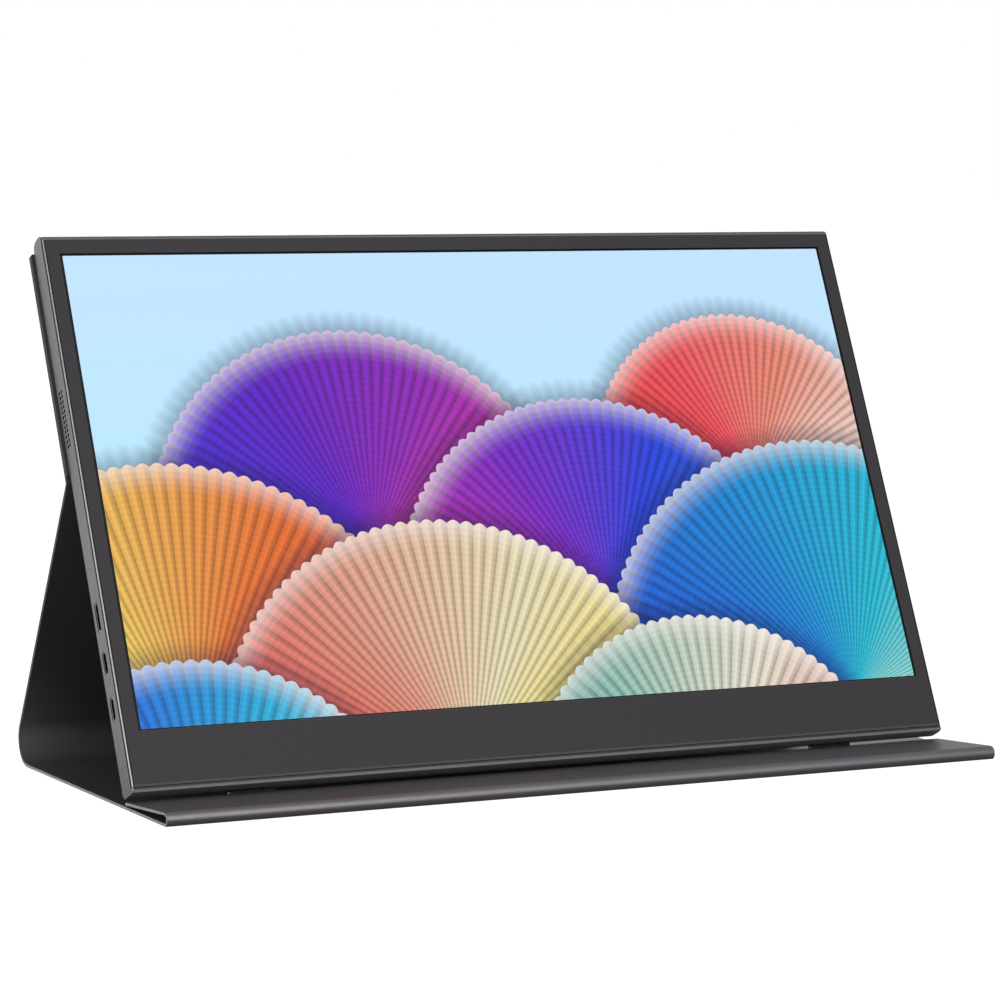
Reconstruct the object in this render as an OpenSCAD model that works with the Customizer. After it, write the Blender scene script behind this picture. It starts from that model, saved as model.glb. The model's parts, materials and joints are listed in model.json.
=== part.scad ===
// Portable monitor on its folding cover, which doubles back on itself as a stand.
// Millimetres. +X runs to the viewer's right, +Y to the back, +Z up.
// The origin is the middle of the footprint, on the table.

/* [Screen] */
// Width of the lit area
screen_w = 344.2; // [330:0.1:360]
// Height of the lit area
screen_h = 193.6; // [185:0.1:205]
// Black outline of the panel that shows round the lit area
screen_mask = 0.7; // [0.4:0.1:1.2]
// Glass of the panel that lies behind the bezel at the sides and the top
glass_margin = 2.4; // [1.6:0.1:3.2]
// Glass of the panel that lies behind the bezel at the bottom, where its drivers sit
glass_foot = 4.6; // [3:0.1:8]
// Thickness of the panel's two glass sheets and polarisers
glass_t = 1.1; // [0.8:0.1:1.4]
// Thickness of the diffuser and prism films
films_t = 0.4; // [0.3:0.1:0.6]
// Thickness of the light guide
guide_t = 1; // [0.8:0.1:1.2]
// Sheet thickness of the panel's steel frame
frame_t = 0.4; // [0.3:0.1:0.6]

/* [Monitor body] */
// Frame beside the lit area, left and right
side_border = 6.9; // [6.6:0.1:12]
// Frame above the lit area
top_border = 9.6; // [8.8:0.1:14]
// Frame below the lit area
bottom_border = 24.7; // [22:0.1:32]
// Thickness of the monitor
body_t = 11.5; // [11.2:0.1:13]
// Thickness of the front bezel
bezel_t = 1.5; // [1.3:0.1:2]
// Thickness of the bezel's lip over the glass
bezel_lip = 0.8; // [0.5:0.1:1.1]
// Height of the housing's slanting strip below the bezel
bottom_strip_h = 1.6; // [1.2:0.1:2]
// Depth of that strip
bottom_strip_t = 0.75; // [0.5:0.05:1.1]
// Height of the bezel's slanting strip along its top edge
top_strip_h = 1.55; // [1:0.05:2]
// Depth of that strip
top_strip_t = 1.2; // [0.8:0.05:1.4]
// Chamfer at the two ends of the body
end_chamfer = 0.45; // [0.3:0.05:1]
// Rise of the underside's front edge above the bottom line
bottom_rise = 0.5; // [0.3:0.05:0.8]
// How far the underside bulges below the bottom line
bottom_crown = 0.15; // [0.05:0.05:0.25]
// Radius of the underside's rear edge
rear_r = 3.4; // [2.5:0.1:4.2]
// Radius of the top side's crown
top_crown_r = 6.8; // [6.4:0.1:8]
// Radius of the top side's rear edge
top_r = 2.4; // [2:0.1:3]
// Corner radius of the body seen from the front
corner_r = 0.7; // [0.5:0.1:3]
// How far the back falls away towards the top edge
pillow_drop = 0.9; // [0.5:0.1:1.2]
// Height over which the back falls away
pillow_len = 17; // [12:0.5:24]
// Thickness of the housing's side walls
side_wall = 1.4; // [1.2:0.1:1.8]
// Thickness of the housing's bottom wall, at its strip
bottom_wall = 2.6; // [2.4:0.1:3]
// Thickness of the housing's top wall
top_wall = 3.3; // [3:0.1:3.6]
// Thickness of the housing's back
back_wall = 1.2; // [1:0.1:1.4]
// Width and depth of the shadow line between bezel and housing
seam = 0.3; // [0.2:0.05:0.5]

/* [Stand] */
// Lean of the screen back from upright
tilt = 25; // [20:0.5:32]
// Length of the base between the lip's centre and the rear bend's centre
base_len = 148.6; // [140:0.1:160]
// Length of the front flap, from the lip's centre to its free end
flap_len = 39.5; // [32:0.1:46]
// Distance from the hinge axis up the monitor's back to the middle crease
crease_up = 129.2; // [122:0.1:136]
// How far the upper flap's free end stays below the monitor's top edge
flap_below_top = 4; // [2:0.1:24]
// How far the cover stands out past each end of the monitor
overhang = 1.2; // [0.6:0.1:3]
// Outer radius of the rear bend
bend_r = 10.5; // [8:0.1:14]
// Outer radius of the front lip
lip_r = 2.8; // [2.6:0.1:3.4]
// Height of the front lip
lip_h = 5.2; // [5:0.1:5.6]
// Thickness of the base panel and of the soft folds
base_t = 1.1; // [1:0.05:1.3]
// Thickness of the front flap
flap_t = 1.2; // [1.1:0.05:1.4]
// Thickness of the leg panel
leg_t = 1.6; // [1.3:0.05:2.2]
// Thickness of the upper flap, which holds the magnets
upper_flap_t = 2.4; // [2.1:0.05:3]
// Thickness of the outer skin
skin_t = 0.3; // [0.2:0.05:0.35]
// Thickness of the inner lining
lining_t = 0.25; // [0.2:0.05:0.35]
// Width of the hem where the skin turns up round a board
hem = 1.6; // [1:0.1:2.5]
// Length of soft sheet on each side of the middle crease
crease_gap = 1.6; // [1.2:0.1:3]
// Corner radius of the upper flap's free end
flap_corner_r = 1; // [1:0.5:8]
// Air between the upper flap and the monitor's back
back_gap = 0.3; // [0.2:0.05:0.6]
// Air between the front flap's free end and the base
rest_gap = 0.4; // [0.2:0.05:0.6]

/* [Hinges] */
// Distance of each hinge's middle from the end of the monitor
hinge_inset = 50.5; // [40:0.5:70]
// Length of a hinge, over its three knuckles
hinge_w = 18.5; // [15:0.1:24]
// Length of the middle knuckle
middle_knuckle = 8; // [6:0.1:9]
// Radius of the knuckles
knuckle_r = 1.4; // [1.3:0.05:1.5]
// Radius of the hinge pin
pin_r = 0.55; // [0.5:0.05:0.7]
// How far the pin stands out at each end of the hinge
pin_proud = 0.3; // [0.1:0.1:0.6]
// Hinge axis behind the monitor's front face
hinge_back = 8.2; // [8:0.1:8.4]
// Hinge axis below the monitor's bottom edge
hinge_drop = 0.7; // [0.5:0.1:0.9]
// Air between the knuckles and the base
knuckle_lift = 0.25; // [0.15:0.05:0.5]
// Length of the hinge leaf inside the front flap
leaf_len = 14; // [10:0.5:20]
// Height of the hinge bracket inside the monitor
bracket_h = 15; // [13:0.5:17]
// Thickness of the hinge bracket
bracket_t = 1; // [0.8:0.05:1.2]

/* [Ports, sound and keys] */
// Middle of the row of ports behind the monitor's front face
port_y = 6.9; // [6.7:0.1:7.1]
// Height of the lowest port above the monitor's bottom edge
port_z = 34.9; // [32:0.1:40]
// Distance between neighbouring ports
port_pitch = 18.3; // [16:0.1:20]
// Width of a USB-C socket's shell
usb_w = 8.94; // [8.9:0.02:9]
// Height of a USB-C socket's shell, the same for the mini HDMI socket
socket_h = 3.2; // [3.1:0.05:3.3]
// Width of the mini HDMI socket's shell
hdmi_w = 11.2; // [11:0.1:11.4]
// Depth of the sockets
socket_depth = 7.4; // [6.5:0.1:9]
// Wall thickness of the sockets' shells
shell_t = 0.3; // [0.2:0.05:0.4]
// Radius of the headphone jack's bore, for a 3.5 plug
jack_r = 1.8; // [1.78:0.01:1.85]
// Depth of the headphone jack's bore
jack_depth = 12; // [11:0.5:14]
// Holes in each row of a speaker grille
grille_count = 12; // [6:1:14]
// Distance between neighbouring grille holes along a row
grille_pitch = 2; // [1.6:0.1:2.4]
// Distance between the two rows of a grille
grille_rows = 2.1; // [1.6:0.1:2.5]
// Diameter of a grille hole
grille_hole = 1.25; // [0.8:0.05:1.4]
// Height of a grille's middle above the monitor's bottom edge
grille_z = 152.5; // [140:0.5:160]
// Length of the power button
power_w = 8; // [6:0.5:10]
// Length of the menu rocker
rocker_w = 16; // [14:0.5:20]
// Width of the power button and of the menu rocker
key_h = 3; // [2.4:0.1:3.4]
// How far the keys stand out of the wall
key_proud = 0.5; // [0.3:0.1:0.9]
// Travel of the power button
key_travel = 0.4; // [0.2:0.05:0.6]
// Height of the menu rocker's middle above the monitor's bottom edge
rocker_z = 60; // [56:0.5:64]
// Height of the power button's middle above the monitor's bottom edge
power_z = 84; // [80:0.5:88]

/* [Hidden] */

$fn = 48;
// Straight pieces in each rounded edge of the monitor's body
edge_steps = 10;
// Overrun of a cut past the face that it opens
cut = 1;
// Air round a board inside its cover panel
board_fit = 0.2;
// Air between neighbouring knuckles
knuckle_gap = 0.15;
// Air between a pin and the knuckles that turn on it
pin_fit = 0.05;
// Air round the knuckles in the monitor's underside
pocket_fit = 0.35;
// Air round a socket, jack or key in its opening in the wall
wall_fit = 0.2;
// Air between stacked sheets of the panel
stack_fit = 0.05;
// Air round the glass in the bezel's rebate
glass_fit = 0.3;

// Monitor body. Its own frame has Y from the front face to the back and Z from the bottom edge up.
body_w = screen_w + 2 * side_border;
body_h = bottom_border + screen_h + top_border;
half_w = body_w / 2;
hinge_x = half_w - hinge_inset;
inner_w = half_w - side_wall;
inner_back = body_t - back_wall;
inner_bottom = bottom_wall;
inner_top = body_h - top_wall;
bezel_foot = bottom_rise + bottom_strip_h + seam;
glass_w = screen_w + 2 * glass_margin;
glass_z = bottom_border - glass_foot;
glass_h = glass_foot + screen_h + glass_margin;
glass_back = bezel_lip + glass_t;
films_back = glass_back + stack_fit + films_t;
guide_back = films_back + stack_fit + guide_t;
frame_back = guide_back + 2 * stack_fit + frame_t;

// Boards inside the monitor
board_y = port_y + socket_h / 2;
board_t = 1;
board_z = 22;
board_h = 74;
// Pivot of the menu rocker, behind the wall, and the ears that hold it
rocker_pivot_x = inner_w - 1.6;
rocker_pivot_r = 0.7;
ear_t = 0.8;
ear_reach = 1.3;
board_edge = rocker_pivot_x - ear_reach - 0.3;
main_board_w = 250;
side_board_w = 26;
boss_r = 2.2;
boss_inset = 4;
screw_r = 0.75;
screw_hole_r = 0.8;
screw_head_r = 1.6;
screw_head_h = 0.7;
screw_bite = 0.9;

// Cover and stand, seen from the side
cover_w = body_w + 2 * overhang;
lip_z = lip_h - lip_r;
stand_depth = lip_r + base_len + bend_r;
lip_y = lip_r - stand_depth / 2;
bend_y = lip_y + base_len;
flap_inner = lip_r - flap_t;
flap_drop = lip_z - base_t - rest_gap;
flap_slope = acos(-flap_drop / norm([flap_inner, flap_len])) - atan2(flap_len, flap_inner);
flap_end_y = lip_y + flap_len * cos(flap_slope) + lip_r * sin(flap_slope);
hinge_y = flap_end_y + rest_gap + knuckle_r;
hinge_z = base_t + knuckle_lift + knuckle_r;
outer_knuckle = (hinge_w - middle_knuckle) / 2 - knuckle_gap;
bracket_w = hinge_w - 2;
flap_outer_y = body_t + back_gap + upper_flap_t;
crease_z = crease_up - hinge_drop;
upper_flap_len = body_h - flap_below_top - crease_z;
crease = on_stand([flap_outer_y, crease_z]);
bend = [bend_y, bend_r];
crease_reach = norm(crease - bend);
leg_len = sqrt(crease_reach * crease_reach - bend_r * bend_r);
leg_rise = atan2(crease[1] - bend[1], bend[0] - crease[0]) - asin(bend_r / crease_reach);
leg_lean = 90 - leg_rise;
magnet = [18, 8, 1.2];
magnet_count = 8;
magnet_rows = [0.24, 0.68];

// A point of the monitor's own side view, given on the stand
function on_stand(p) =
    let (y = p[0] - hinge_back, z = p[1] + hinge_drop)
    [hinge_y + y * cos(tilt) + z * sin(tilt), hinge_z - y * sin(tilt) + z * cos(tilt)];
// Points along an arc in the side view
function arc(centre, r, from, to, steps = edge_steps) =
    [for (i = [0 : steps]) let (a = from + (to - from) * i / steps) centre + r * [cos(a), sin(a)]];
// A unit vector in the side view
function heading(a) = [cos(a), sin(a)];

module on_monitor()
    translate([0, hinge_y, hinge_z]) rotate([-tilt, 0, 0]) translate([0, -hinge_back, hinge_drop]) children();
module on_front_flap() translate([0, lip_y, lip_z]) rotate([-flap_slope, 0, 0]) children();
module on_leg() translate([0, bend_y, bend_r]) rotate([leg_lean, 0, 0]) children();
// A side view swept along X
module along_x(from, to) translate([from, 0, 0]) rotate([90, 0, 90]) linear_extrude(to - from) children();
// A shape with round ends, long along Z, in the side view
module stadium(length, width) {
    square([width, length - width], center = true);
    for (s = [-1, 1]) translate([0, s * (length - width) / 2]) circle(d = width);
}
module left_and_right() for (s = [-1, 1]) translate([s * hinge_x, 0, 0]) children();

// ---- Monitor body ----

// How far a fillet's middle lies from the crown's middle, so that one runs smoothly into the other
function fillet_rise(crown_r, fillet_r, dx) = sqrt(pow(crown_r - fillet_r, 2) - dx * dx);
crown_y = 5.4;

// The closed outer form that bezel and housing share
module body_form() {
    // Underside: a shallow crown from the strip's edge to the rear fillet
    foot = [bottom_strip_t, bottom_rise];
    foot_run = crown_y - foot[0];
    foot_drop = bottom_rise + bottom_crown;
    foot_r = (foot_run * foot_run + foot_drop * foot_drop) / (2 * foot_drop);
    foot_middle = [crown_y, foot_r - bottom_crown];
    rear_dx = body_t - rear_r - crown_y;
    rear_middle = foot_middle + [rear_dx, -fillet_rise(foot_r, rear_r, rear_dx)];
    rear_turn = -acos(rear_dx / (foot_r - rear_r));
    // Top side: a round crown from the strip's edge to the rear fillet
    crown = [crown_y, body_h - top_crown_r];
    top_dx = body_t - pillow_drop - top_r - crown_y;
    top_middle = crown + [top_dx, fillet_rise(top_crown_r, top_r, top_dx)];
    top_turn = acos(top_dx / (top_crown_r - top_r));
    crown_end = 90 + asin((crown_y - top_strip_t) / top_crown_r);
    crown_foot = crown + top_crown_r * heading(crown_end);
    side = concat(
        [[0, bottom_rise + bottom_strip_h]],
        arc(foot_middle, foot_r, -90 - asin(foot_run / foot_r), rear_turn),
        arc(rear_middle, rear_r, rear_turn, 0),
        [[body_t, body_h - pillow_len]],
        arc(top_middle, top_r, 0, top_turn),
        arc(crown, top_crown_r, top_turn, crown_end),
        [crown_foot - [top_strip_t, top_strip_h]]
    );
    plan = [
        [end_chamfer - half_w, 0], [half_w - end_chamfer, 0], [half_w, end_chamfer],
        [half_w, body_t - end_chamfer], [half_w - end_chamfer, body_t],
        [end_chamfer - half_w, body_t], [-half_w, body_t - end_chamfer], [-half_w, end_chamfer]
    ];
    corner = [half_w - corner_r, body_h - corner_r];
    corner_foot = corner_r - bottom_crown;
    front = concat(
        arc([corner[0], corner_foot], corner_r, -90, 0, 4), arc(corner, corner_r, 0, 90, 4),
        arc([-corner[0], corner[1]], corner_r, 90, 180, 4),
        arc([-corner[0], corner_foot], corner_r, 180, 270, 4)
    );
    intersection() {
        along_x(-half_w, half_w) polygon(side);
        translate([0, 0, -cut]) linear_extrude(body_h + 2 * cut) polygon(plan);
        translate([0, body_t + cut, 0]) rotate([90, 0, 0]) linear_extrude(body_t + 2 * cut) polygon(front);
    }
}

// Everything between two distances behind the front face
module slab(from, to)
    translate([-body_w, from, -body_h / 2]) cube([2 * body_w, to - from, 2 * body_h]);

// A rectangle of the front view, given a depth
module pane(width, from_z, height, from_y, to_y)
    translate([-width / 2, from_y, from_z]) cube([width, to_y - from_y, height]);

module front_bezel() color("#434143") on_monitor() difference() {
    intersection() {
        body_form();
        pane(2 * body_w, bezel_foot, body_h, 0, bezel_t);
    }
    pane(screen_w + 2 * screen_mask, bottom_border - screen_mask, screen_h + 2 * screen_mask, -cut, body_t);
    pane(glass_w + 2 * glass_fit, glass_z - glass_fit, glass_h + 2 * glass_fit, bezel_lip, body_t);
}

module housing_cavity() along_x(-inner_w, inner_w) polygon([
    [0, inner_bottom], [inner_back, inner_bottom], [inner_back, body_h - pillow_len],
    [inner_back - pillow_drop, inner_top], [0, inner_top]
]);

// The groove along both ends and the top edge. Along the bottom, the bezel stops short of the housing's strip.
seam_top = body_h - top_crown_r + sqrt(pow(top_crown_r, 2) - pow(crown_y - bezel_t, 2));
module shadow_line() difference() {
    pane(2 * body_w, bezel_foot - seam, body_h, bezel_t - cut, bezel_t + seam);
    pane(body_w - 2 * seam, -body_h, body_h + seam_top - seam, 0, body_t);
}

// Both rows of grille holes, for one end of the body
grille_y = port_y + 0.35;
module grille_holes(x)
    for (row = [-0.5, 0.5], i = [0 : grille_count - 1])
        translate([x, grille_y + row * grille_rows, grille_z + (i - (grille_count - 1) / 2) * grille_pitch])
            rotate([0, 90, 0]) cylinder(d = grille_hole, h = 4 * side_wall, center = true);

// Where the mini HDMI socket goes: a rectangle with two corners cut off
module hdmi_outline(grow = 0) {
    w = hdmi_w / 2 + grow;
    h = socket_h / 2 + grow;
    polygon([[-h, -w], [-h, w], [h - 1, w], [h, w - 1], [h, 1 - w], [h - 1, -w]]);
}

module port_openings() {
    for (i = [0, 1]) along_x(-half_w - cut, cut - inner_w)
        translate([port_y, port_z + i * port_pitch]) stadium(usb_w + 2 * wall_fit, socket_h + 2 * wall_fit);
    along_x(-half_w - cut, cut - inner_w) translate([port_y, port_z + 2 * port_pitch]) hdmi_outline(wall_fit);
}

module key_openings() {
    along_x(inner_w - cut, half_w + cut) {
        translate([port_y, power_z]) stadium(power_w + 2 * wall_fit, key_h + 2 * wall_fit);
        translate([port_y, rocker_z]) stadium(rocker_w + 2 * wall_fit, key_h + 2 * wall_fit);
        translate([port_y, port_z]) circle(r = jack_r + jack_wall + wall_fit);
    }
}

// The pocket that a hinge's knuckles turn in, and the slot above it for the bracket
module hinge_pocket() {
    across = 2 * (knuckle_r + pocket_fit);
    translate([-hinge_w / 2 - 2 * pocket_fit, hinge_back - across / 2, -cut - hinge_drop])
        cube([hinge_w + 4 * pocket_fit, across, cut + knuckle_r + pocket_fit]);
    translate([-middle_knuckle / 2 - pocket_fit, hinge_back - bracket_t / 2 - pocket_fit, -cut])
        cube([middle_knuckle + 2 * pocket_fit, bracket_t + 2 * pocket_fit, inner_bottom + 2 * cut]);
}

// Where the screws of the two boards stand, in the front view
board_screw_places = concat(
    [for (x = [-board_edge + boss_inset, main_board_w - board_edge - boss_inset],
          z = [board_z + boss_inset, board_z + board_h - boss_inset]) [x, z]],
    [for (z = [board_z + boss_inset, board_z + board_h - boss_inset])
        [board_edge - side_board_w + boss_inset, z]]
);
bracket_screw_places = [for (s = [-1, 1], x = [-1, 1]) [s * hinge_x + x * bracket_w / 4, bracket_h - 4]];

module boss(place, top)
    translate([place[0], inner_back + back_wall / 2, place[1]]) rotate([90, 0, 0])
        cylinder(r = boss_r, h = inner_back + back_wall / 2 - top);
module boss_hole(place, top)
    translate([place[0], top + board_t + screw_bite, place[1]]) rotate([90, 0, 0])
        cylinder(r = screw_hole_r, h = board_t + screw_bite + cut);

// Two ears inside the right wall that hold the menu rocker's pivot
module rocker_ears() difference() {
    for (s = [-1, 1]) {
        y = port_y + s * (key_h / 2 + wall_fit + ear_t / 2);
        translate([rocker_pivot_x - ear_reach, y - ear_t / 2, rocker_z - ear_reach])
            cube([inner_w + side_wall / 2 - rocker_pivot_x + ear_reach, ear_t, 2 * ear_reach]);
    }
    translate([rocker_pivot_x, port_y, rocker_z]) rotate([90, 0, 0])
        cylinder(r = rocker_pivot_r + pin_fit, h = 4 * key_h, center = true);
}

module rear_housing() color("#858083") on_monitor() {
    difference() {
        union() {
            difference() {
                intersection() {
                    body_form();
                    union() {
                        slab(bezel_t, body_t);
                        pane(2 * body_w, -body_h, body_h + bezel_foot - seam, 0, body_t);
                    }
                }
                housing_cavity();
                shadow_line();
            }
            for (p = board_screw_places) boss(p, board_y + board_t);
            for (p = bracket_screw_places) boss(p, hinge_back + bracket_t / 2);
            rocker_ears();
        }
        for (p = board_screw_places) boss_hole(p, board_y);
        for (p = bracket_screw_places) boss_hole(p, hinge_back - bracket_t / 2);
        grille_holes(-half_w);
        grille_holes(half_w);
        port_openings();
        key_openings();
        left_and_right() hinge_pocket();
    }
}

// ---- Screen ----

module lcd_panel() color("#1c1c22") on_monitor() pane(glass_w, glass_z, glass_h, bezel_lip, glass_back);

module optical_films() color("#e8e8ea") on_monitor()
    pane(glass_w - 1, glass_z + 0.5, glass_h - 1, glass_back + stack_fit, films_back);

led_bar_h = 2;
module light_guide() color("#dfeef2") on_monitor()
    pane(
        glass_w - 1, glass_z + led_bar_h + 0.7, glass_h - led_bar_h - 1.2,
        films_back + stack_fit, guide_back
    );

module led_bar() color("#f0efd8") on_monitor()
    pane(glass_w - 1, glass_z + 0.5, led_bar_h, films_back + stack_fit, guide_back);

module panel_frame() color("#9a9a9c") on_monitor() difference() {
    pane(glass_w, glass_z, glass_h, glass_back, frame_back);
    pane(
        glass_w - 2 * frame_t, glass_z + frame_t, glass_h - 2 * frame_t,
        glass_back - cut, frame_back - frame_t
    );
}

// ---- Boards, sockets and sound ----

// A flat board with round holes for its screws
module circuit_board(from_x, width) difference() {
    translate([from_x, board_y, board_z]) cube([width, board_t, board_h]);
    for (p = board_screw_places) translate([p[0], board_y + board_t + cut, p[1]]) rotate([90, 0, 0])
        cylinder(r = screw_hole_r, h = board_t + 2 * cut);
}
// A chip or can on the front of the board
module chip(x, z, w, h, t) translate([x, board_y - t, z]) cube([w, t, h]);

module main_board() color("#1f5a3c") on_monitor() {
    circuit_board(-board_edge, main_board_w);
    chip(-128, 44, 16, 16, 1.6);
    chip(-100, 46, 11, 11, 1.2);
    for (i = [0 : 3]) chip(-80 + 14 * i, 70, 7, 5, 1.4);
    for (i = [0 : 5]) chip(-60 + 18 * i, 34, 8, 8, 2);
}

module side_board() color("#1f5a3c") on_monitor() circuit_board(board_edge - side_board_w, side_board_w);

// A screw whose head lies on a face at the given depth
module screw(place, face, grip) translate([place[0], face, place[1]]) rotate([-90, 0, 0]) {
    translate([0, 0, -screw_head_h]) cylinder(r = screw_head_r, h = screw_head_h);
    cylinder(r = screw_r, h = grip + screw_bite / 2);
}
module board_screws() color("#b9b9bb") on_monitor() for (p = board_screw_places) screw(p, board_y, board_t);
module bracket_screws() color("#b9b9bb") on_monitor()
    for (p = bracket_screw_places) screw(p, hinge_back - bracket_t / 2, bracket_t);

// A flat cable that leaves the main board and comes down behind the panel's lower edge
cable_t = 0.2;
cable_w = 24;
cable_fit = 0.1;
// Distance from the main board's inner end, and the cable's stretches from its upper end down
cable_inset = 16.4;
cable_rise = 30;
cable_lap = 6;
cable_slope = 10;
cable_tuck = 4;
cable_x = main_board_w - board_edge - cable_inset;
cable_top = board_z + cable_rise;
cable_bend = cable_top - cable_lap;
cable_foot = cable_bend - cable_slope;
cable_end = glass_z + cable_tuck;
module panel_cable() color("#c9a23a") on_monitor() {
    lift = board_y - cable_fit;
    drop = frame_back + 2 * cable_fit;
    along_x(cable_x - cable_w / 2, cable_x + cable_w / 2) polygon([
        [lift, cable_top], [lift, cable_bend], [drop + cable_t, cable_foot], [drop + cable_t, cable_end],
        [drop, cable_end], [drop, cable_foot + cable_t], [lift - cable_t, cable_bend + cable_t],
        [lift - cable_t, cable_top]
    ]);
}

// A flat ribbon, stuck to the back wall, from the main board to the side board
ribbon_w = 8;
ribbon_overlap = 8;
ribbon_z = board_z + 12;
module side_ribbon() color("#d8d8da") on_monitor()
    translate([main_board_w - board_edge - ribbon_overlap, inner_back - 2 * cable_t, ribbon_z])
        cube([2 * board_edge - main_board_w - side_board_w + 2 * ribbon_overlap, cable_t, ribbon_w]);

// A socket at height z: a shell, open at the left wall, round a tongue. Its outline and its bore follow.
tongue_t = 0.7;
module socket(z, tongue_w) {
    mouth = wall_fit - half_w;
    difference() {
        along_x(mouth, mouth + socket_depth) translate([port_y, z]) children(0);
        along_x(mouth - cut, mouth + socket_depth - shell_t) translate([port_y, z]) children(1);
    }
    translate([mouth + 1, port_y - tongue_t / 2, z - tongue_w / 2])
        cube([socket_depth - 1 - shell_t / 2, tongue_t, tongue_w]);
}
module usb_c(z) socket(z, usb_w - 2.4) {
    stadium(usb_w, socket_h);
    stadium(usb_w - 2 * shell_t, socket_h - 2 * shell_t);
}
module usb_c_lower() color("#c3c3c6") on_monitor() usb_c(port_z);
module usb_c_upper() color("#c3c3c6") on_monitor() usb_c(port_z + port_pitch);
module hdmi_socket() color("#c3c3c6") on_monitor() socket(port_z + 2 * port_pitch, hdmi_w - 3) {
    hdmi_outline();
    hdmi_outline(-shell_t);
}

jack_wall = 0.7;
module headphone_jack() color("#26262a") on_monitor() difference() {
    union() {
        along_x(inner_w - jack_depth - 1.5, inner_w - 0.1)
            translate([port_y - socket_h / 2 - 0.9, port_z - 3]) square([socket_h + 0.9, 6]);
        along_x(inner_w - 2, half_w - wall_fit) translate([port_y, port_z]) circle(r = jack_r + jack_wall);
    }
    along_x(half_w - wall_fit - jack_depth, half_w + cut) translate([port_y, port_z]) circle(r = jack_r);
}

// A small box speaker behind a grille, with its diaphragm sunk into the face
speaker_d = 14;
speaker_t = 4.8;
module speaker() {
    length = grille_count * grille_pitch + 14;
    x = inner_w - wall_fit;
    difference() {
        along_x(x - speaker_d, x) translate([grille_y, grille_z]) square([speaker_t, length], center = true);
        along_x(x - 1, x + cut) translate([grille_y, grille_z]) stadium(length - 8, speaker_t - 1.2);
    }
}
module speaker_left() color("#2b2b2e") on_monitor() mirror([1, 0, 0]) speaker();
module speaker_right() color("#2b2b2e") on_monitor() speaker();

// ---- Keys on the right wall ----

key_flange = 0.8;
flange_gap = 0.1;
switch_gap = 0.1;
module power_button() color("#3a393b") on_monitor() {
    along_x(inner_w - flange_gap - key_flange, half_w + key_proud)
        translate([port_y, power_z]) stadium(power_w, key_h);
    along_x(inner_w - flange_gap - key_flange, inner_w - flange_gap)
        translate([port_y, power_z]) stadium(power_w + 1.6, key_h + 1.2);
}

module menu_rocker() color("#3a393b") on_monitor() {
    along_x(inner_w, half_w + key_proud) translate([port_y, rocker_z]) stadium(rocker_w, key_h);
    translate([rocker_pivot_x - 0.9, port_y - key_h / 2, rocker_z - 1.2])
        cube([inner_w + 0.2 - rocker_pivot_x + 0.9, key_h, 2.4]);
    translate([rocker_pivot_x, port_y, rocker_z]) rotate([90, 0, 0])
        cylinder(r = rocker_pivot_r, h = key_h + 2 * wall_fit + ear_t, center = true);
}

// Three side-acting switches on the side board, one behind the button and one behind each end of the rocker
module key_switch(z, reach) {
    translate([board_edge - 4, board_y - socket_h, z - 1.6]) cube([4, socket_h, 3.2]);
    along_x(board_edge - 1, reach) translate([port_y, z]) square([1.6, 1.6], center = true);
}
module key_switches() color("#d5d5d8") on_monitor() {
    key_switch(power_z, inner_w - flange_gap - key_flange - key_travel - switch_gap);
    for (s = [-1, 1]) key_switch(rocker_z + s * rocker_w / 3, inner_w - key_travel - switch_gap);
}

// ---- Hinges ----

module knuckle(from, to) along_x(from, to) translate([hinge_y, hinge_z]) circle(r = knuckle_r);
module pin_bore(r) along_x(-hinge_w, hinge_w) translate([hinge_y, hinge_z]) circle(r = r);

module hinge_bracket() difference() {
    union() {
        knuckle(-middle_knuckle / 2, middle_knuckle / 2);
        on_monitor() {
            translate([-middle_knuckle / 2, hinge_back - bracket_t / 2, -hinge_drop])
                cube([middle_knuckle, bracket_t, hinge_drop + bracket_h]);
            translate([-bracket_w / 2, hinge_back - bracket_t / 2, inner_bottom + 0.2])
                cube([bracket_w, bracket_t, bracket_h - inner_bottom - 0.2]);
        }
    }
    pin_bore(pin_r + pin_fit);
    on_monitor() for (x = [-1, 1]) translate([x * bracket_w / 4, hinge_back + cut, bracket_h - 4])
        rotate([90, 0, 0]) cylinder(r = screw_hole_r, h = 2 * cut);
}
module hinge_bracket_left() color("#1d1c1e") translate([-hinge_x, 0, 0]) hinge_bracket();
module hinge_bracket_right() color("#1d1c1e") translate([hinge_x, 0, 0]) hinge_bracket();

module hinge_pin() along_x(-hinge_w / 2 - pin_proud, hinge_w / 2 + pin_proud)
    translate([hinge_y, hinge_z]) circle(r = pin_r);
module hinge_pin_left() color("#d9d9dc") translate([-hinge_x, 0, 0]) hinge_pin();
module hinge_pin_right() color("#d9d9dc") translate([hinge_x, 0, 0]) hinge_pin();

// The leaf lies in the front flap's board, and carries the two outer knuckles behind the flap's free end
leaf_t = flap_t - skin_t - lining_t;
leaf_setback = 0.3;
module leaf_plate(length) translate([lip_y, lip_z]) rotate(-flap_slope)
    translate([flap_len - leaf_len, flap_inner + lining_t]) square([length, leaf_t]);
module hinge_leaf() {
    inner = hinge_w / 2 - outer_knuckle;
    for (from = [-hinge_w / 2, inner]) along_x(from, from + outer_knuckle) difference() {
        union() {
            translate([hinge_y, hinge_z]) circle(r = knuckle_r);
            leaf_plate(leaf_len + rest_gap + knuckle_r / 2);
        }
        translate([hinge_y, hinge_z]) circle(r = pin_r);
    }
    along_x(-inner, inner) leaf_plate(leaf_len - leaf_setback);
}
module hinge_leaf_left() color("#1d1c1e") translate([-hinge_x, 0, 0]) hinge_leaf();
module hinge_leaf_right() color("#1d1c1e") translate([hinge_x, 0, 0]) hinge_leaf();

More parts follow.
